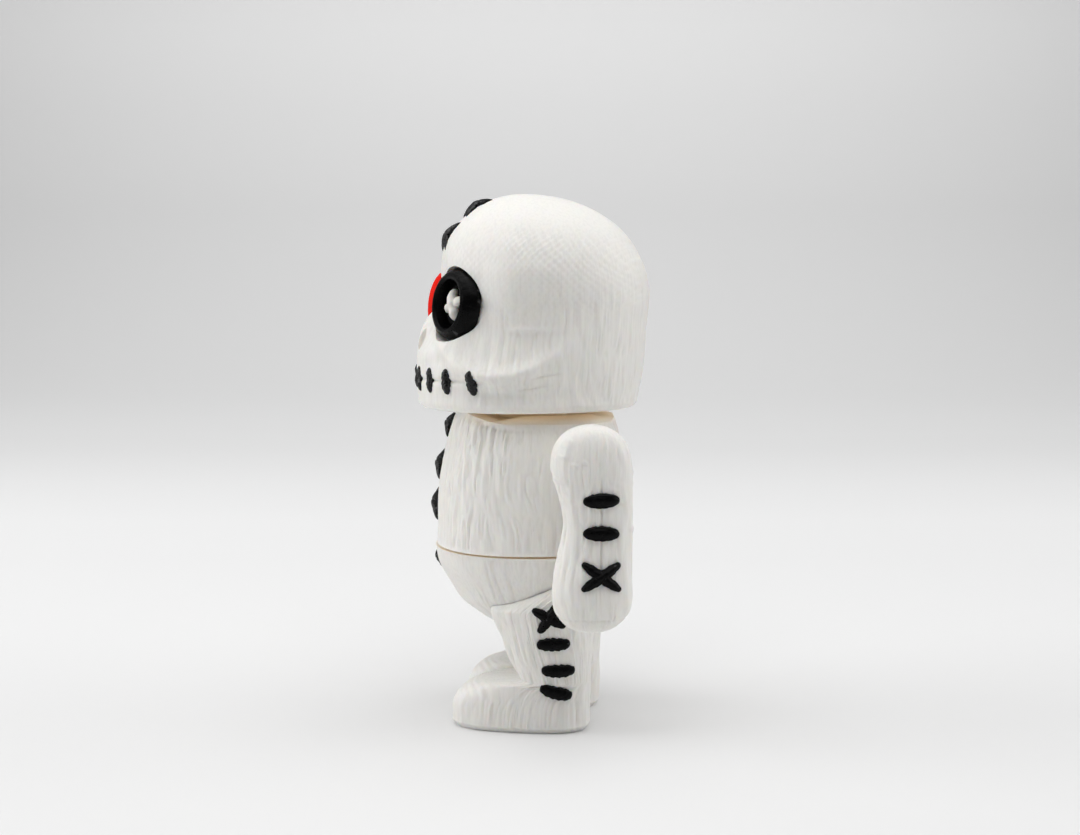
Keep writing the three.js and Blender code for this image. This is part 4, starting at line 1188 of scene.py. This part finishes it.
def make_pelvis(finishes):
    tools = [pin_socket(WAIST_PIN, Matrix.Translation((0, 0, CHEST_BOTTOM)))]
    tools += [pin_socket(HIP_PIN, hip_frame(side)) for side in (1, -1)]
    shell, tree = make_shell("pelvis_skin", pelvis_grid, pelvis_fabric, tools)
    dress(shell, "pelvis_shell", "pelvis", finishes["shell"], PELVIS_TURN)
    drop, length = BELLY_STITCH_PLACE
    bar = CHEST_STITCH._replace(length=length)
    stitch = front_cross(tree, pelvis_points, 1 - drop / PELVIS_HEIGHT, BELLY_STITCH_RISE, bar, seed=261)
    sew(stitch, "belly_cross", "belly_stitch", "pelvis", finishes, PELVIS_TURN)


def make_limbs(limb, shapes, tools, origin, stitches, turn, finishes):
    """Makes the left limb with its stitches, which lie about an origin of side and height, and their
    mirror images on the right."""
    side_place, base = origin
    shell, tree = make_shell(limb, *shapes, tools)
    pieces = {limb: (shell, "shell_white", "limb")}
    for name, (back, height, bar, lean, seed) in stitches.items():
        spot = spot_on(tree, Vector((side_place, back, base + height)), (1, 0, 0))
        stitch = (stitch_cross if name.endswith("cross") else stitch_bar)(tree, spot, bar, lean, seed)
        pieces[name] = (stitch, "stitch_black", "black")
    for name, (obj, slot, finish) in pieces.items():
        obj.name = f"left_{name}_fine"
        twin = mirrored(obj, f"right_{name}_fine")
        for side, piece in (("left", obj), ("right", twin)):
            dress(piece, f"{side}_{name}", f"{side}_{limb}", finishes[finish], turn)


def make_arms(finishes):
    tools = [pin_socket(SHOULDER_PIN, shoulder_frame(1))]
    origin = (ARM_OFFSET, ARM_BOTTOM)
    make_limbs("arm", (arm_grid, arm_fabric), tools, origin, ARM_STITCHES, 0, finishes)


def make_legs(finishes):
    hip = hip_frame(1)
    tools = [*belly_sweep(hip), pin_socket(HIP_PIN, hip)]
    origin = (LEG_SPREAD, 0)
    make_limbs("leg", (leg_grid, leg_fabric), tools, origin, LEG_STITCHES, PELVIS_TURN, finishes)


# Stage, light and camera, in metres

CAMERA_PLACE = (0.38785, 0.00237, 0.11963)
CAMERA_TILT = 3.41
LENS = 48.33
LENS_SHIFT = -0.0556

# The sweep's profile, and greys of its glow from near to far, of the world's light from behind the doll
# to the camera's side, and of the sky from the horizon up. The camera alone sees the glow and the sky,
# and they light nothing.
FLOOR_NEAR, FLOOR_BACK = 1.4, -1.1
SWEEP_BEND = 0.7
SWEEP_SIDE = 3
BACKDROP_FAR = FLOOR_BACK - SWEEP_BEND
BACKDROP_TOP = 2.2
SWEEP_GREY = 0.765
SWEEP_GLOW = [
    (0.4, 0), (0.435, 0.03), (0.4615, 0.06), (0.502, 0.1), (0.532, 0.15), (0.574, 0.18), (0.618, 0.2),
    (0.679, 0.27), (0.781, 0.34), (0.936, 0.37), (0.971, 0.44), (0.987, 0.49),
]
SIDE_FADE = 0.4
LEAST_GLOW = 0.5
WORLD_GREYS = [(0, 0.62), (0.35, 0.48), (0.7, 0.09)]
SKY_GREYS = [(0, 0.39), (0.08, 0.5), (0.3, 0.72)]

# Lamps: place, target, side lengths and power
LAMPS = {
    "top_soft": ((0.14, 0.0, 0.72), (0, 0, 0.08), (0.7, 0.9), 3.75),
    "front_soft": ((0.0, -0.8, 0.36), (0, 0, 0.06), (0.5, 0.5), 2.5),
    "back_soft": ((0.0, 0.8, 0.36), (0, 0, 0.06), (0.5, 0.5), 1.5),
}


def aimed(name, data, place, direction):
    """A camera or lamp at a place, which looks along a direction."""
    obj = in_scene(name, data)
    obj.location = place
    obj.rotation_euler = direction.to_track_quat("-Z", "Y").to_euler()
    return obj


def make_camera():
    data = bpy.data.cameras.new("camera")
    data.sensor_width = 36
    data.lens = LENS
    data.shift_y = LENS_SHIFT
    data.clip_start, data.clip_end = 0.01, 20
    tilt = radians(CAMERA_TILT)
    direction = Vector((-cos(tilt), 0, -sin(tilt)))
    bpy.context.scene.camera = aimed("camera", data, CAMERA_PLACE, direction)


def make_lamps():
    for name, (place, target, size, power) in LAMPS.items():
        data = bpy.data.lights.new(name, "AREA")
        data.shape = "RECTANGLE"
        data.size, data.size_y = size
        data.energy = power
        aimed(name, data, place, Vector(target) - Vector(place))


def camera_ray(tree):
    return add_node(tree, "LightPath")["Is Camera Ray"]


def make_stage():
    """A pale sweep: a floor that rises smoothly into a backdrop."""
    slope = np.linspace(0, pi / 2, 24)
    bend = [(FLOOR_BACK - SWEEP_BEND * sin(s), SWEEP_BEND * (1 - cos(s))) for s in slope]
    profile = [(FLOOR_NEAR, 0.0), *bend, (BACKDROP_FAR, BACKDROP_TOP)]
    points = [(x, y, z) for y in (-SWEEP_SIDE, SWEEP_SIDE) for x, z in profile]
    count = len(profile)
    faces = [[k, k + 1, count + k + 1, count + k] for k in range(count - 1)]
    sweep = mesh_object("sweep", points, faces, 1)
    sweep.data.shade_smooth()
    material, tree, shader, place = node_material("sweep_paper", 0.9, 0.1)
    path = add_node(tree, "SeparateXYZ", Vector=place)
    along = span_node(tree, path["X"], FLOOR_NEAR, BACKDROP_FAR)
    glow = ramp_node(tree, along, greys(SWEEP_GLOW))
    square = math_node(tree, "MULTIPLY", path["Y"], path["Y"])
    fade = math_node(tree, "MULTIPLY_ADD", square, -SIDE_FADE, 1)
    fade = math_node(tree, "MAXIMUM", fade, LEAST_GLOW)
    strength = math_node(tree, "MULTIPLY", camera_ray(tree), fade)
    paper = (SWEEP_GREY, SWEEP_GREY, SWEEP_GREY, 1)
    fill_all(tree, shader, Base_Color=paper, Emission_Color=glow, Emission_Strength=strength)
    sweep.data.materials.append(material)


def make_world():
    """A studio that is dim on the camera's side and bright behind the doll."""
    world = bpy.data.worlds.new("studio")
    bpy.context.scene.world = world
    world.use_nodes = True
    tree = world.node_tree
    towards = add_node(tree, "SeparateXYZ", Vector=add_node(tree, "TexCoord")["Generated"])
    light = ramp_node(tree, towards["X"], greys(WORLD_GREYS))
    sky = ramp_node(tree, towards["Z"], greys(SKY_GREYS))
    seen = mix_node(tree, camera_ray(tree), light, sky)
    fill_all(tree, tree.nodes["Background"].inputs, Color=seen, Strength=1)


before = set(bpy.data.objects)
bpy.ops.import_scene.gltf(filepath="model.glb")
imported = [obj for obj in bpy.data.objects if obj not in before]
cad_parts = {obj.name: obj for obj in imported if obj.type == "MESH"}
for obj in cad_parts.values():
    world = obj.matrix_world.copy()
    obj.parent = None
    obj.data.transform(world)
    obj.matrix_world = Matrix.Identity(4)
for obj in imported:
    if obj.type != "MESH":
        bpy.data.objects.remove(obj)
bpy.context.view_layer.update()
bpy.context.scene.view_settings.view_transform = "Standard"
make_camera()
make_stage()
make_world()
make_lamps()

finishes = {name: white_plastic(f"{name}_finish", *values) for name, values in WHITES.items()}
finishes |= {name: gloss_plastic(f"{name}_finish", *values) for name, values in GLOSSES.items()}
for name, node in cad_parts.items():
    if name.endswith("_pin"):
        node.data.materials.clear()
        node.data.materials.append(finishes["pin"])
for make in (make_head, make_chest, make_pelvis, make_arms, make_legs):
    make(finishes)
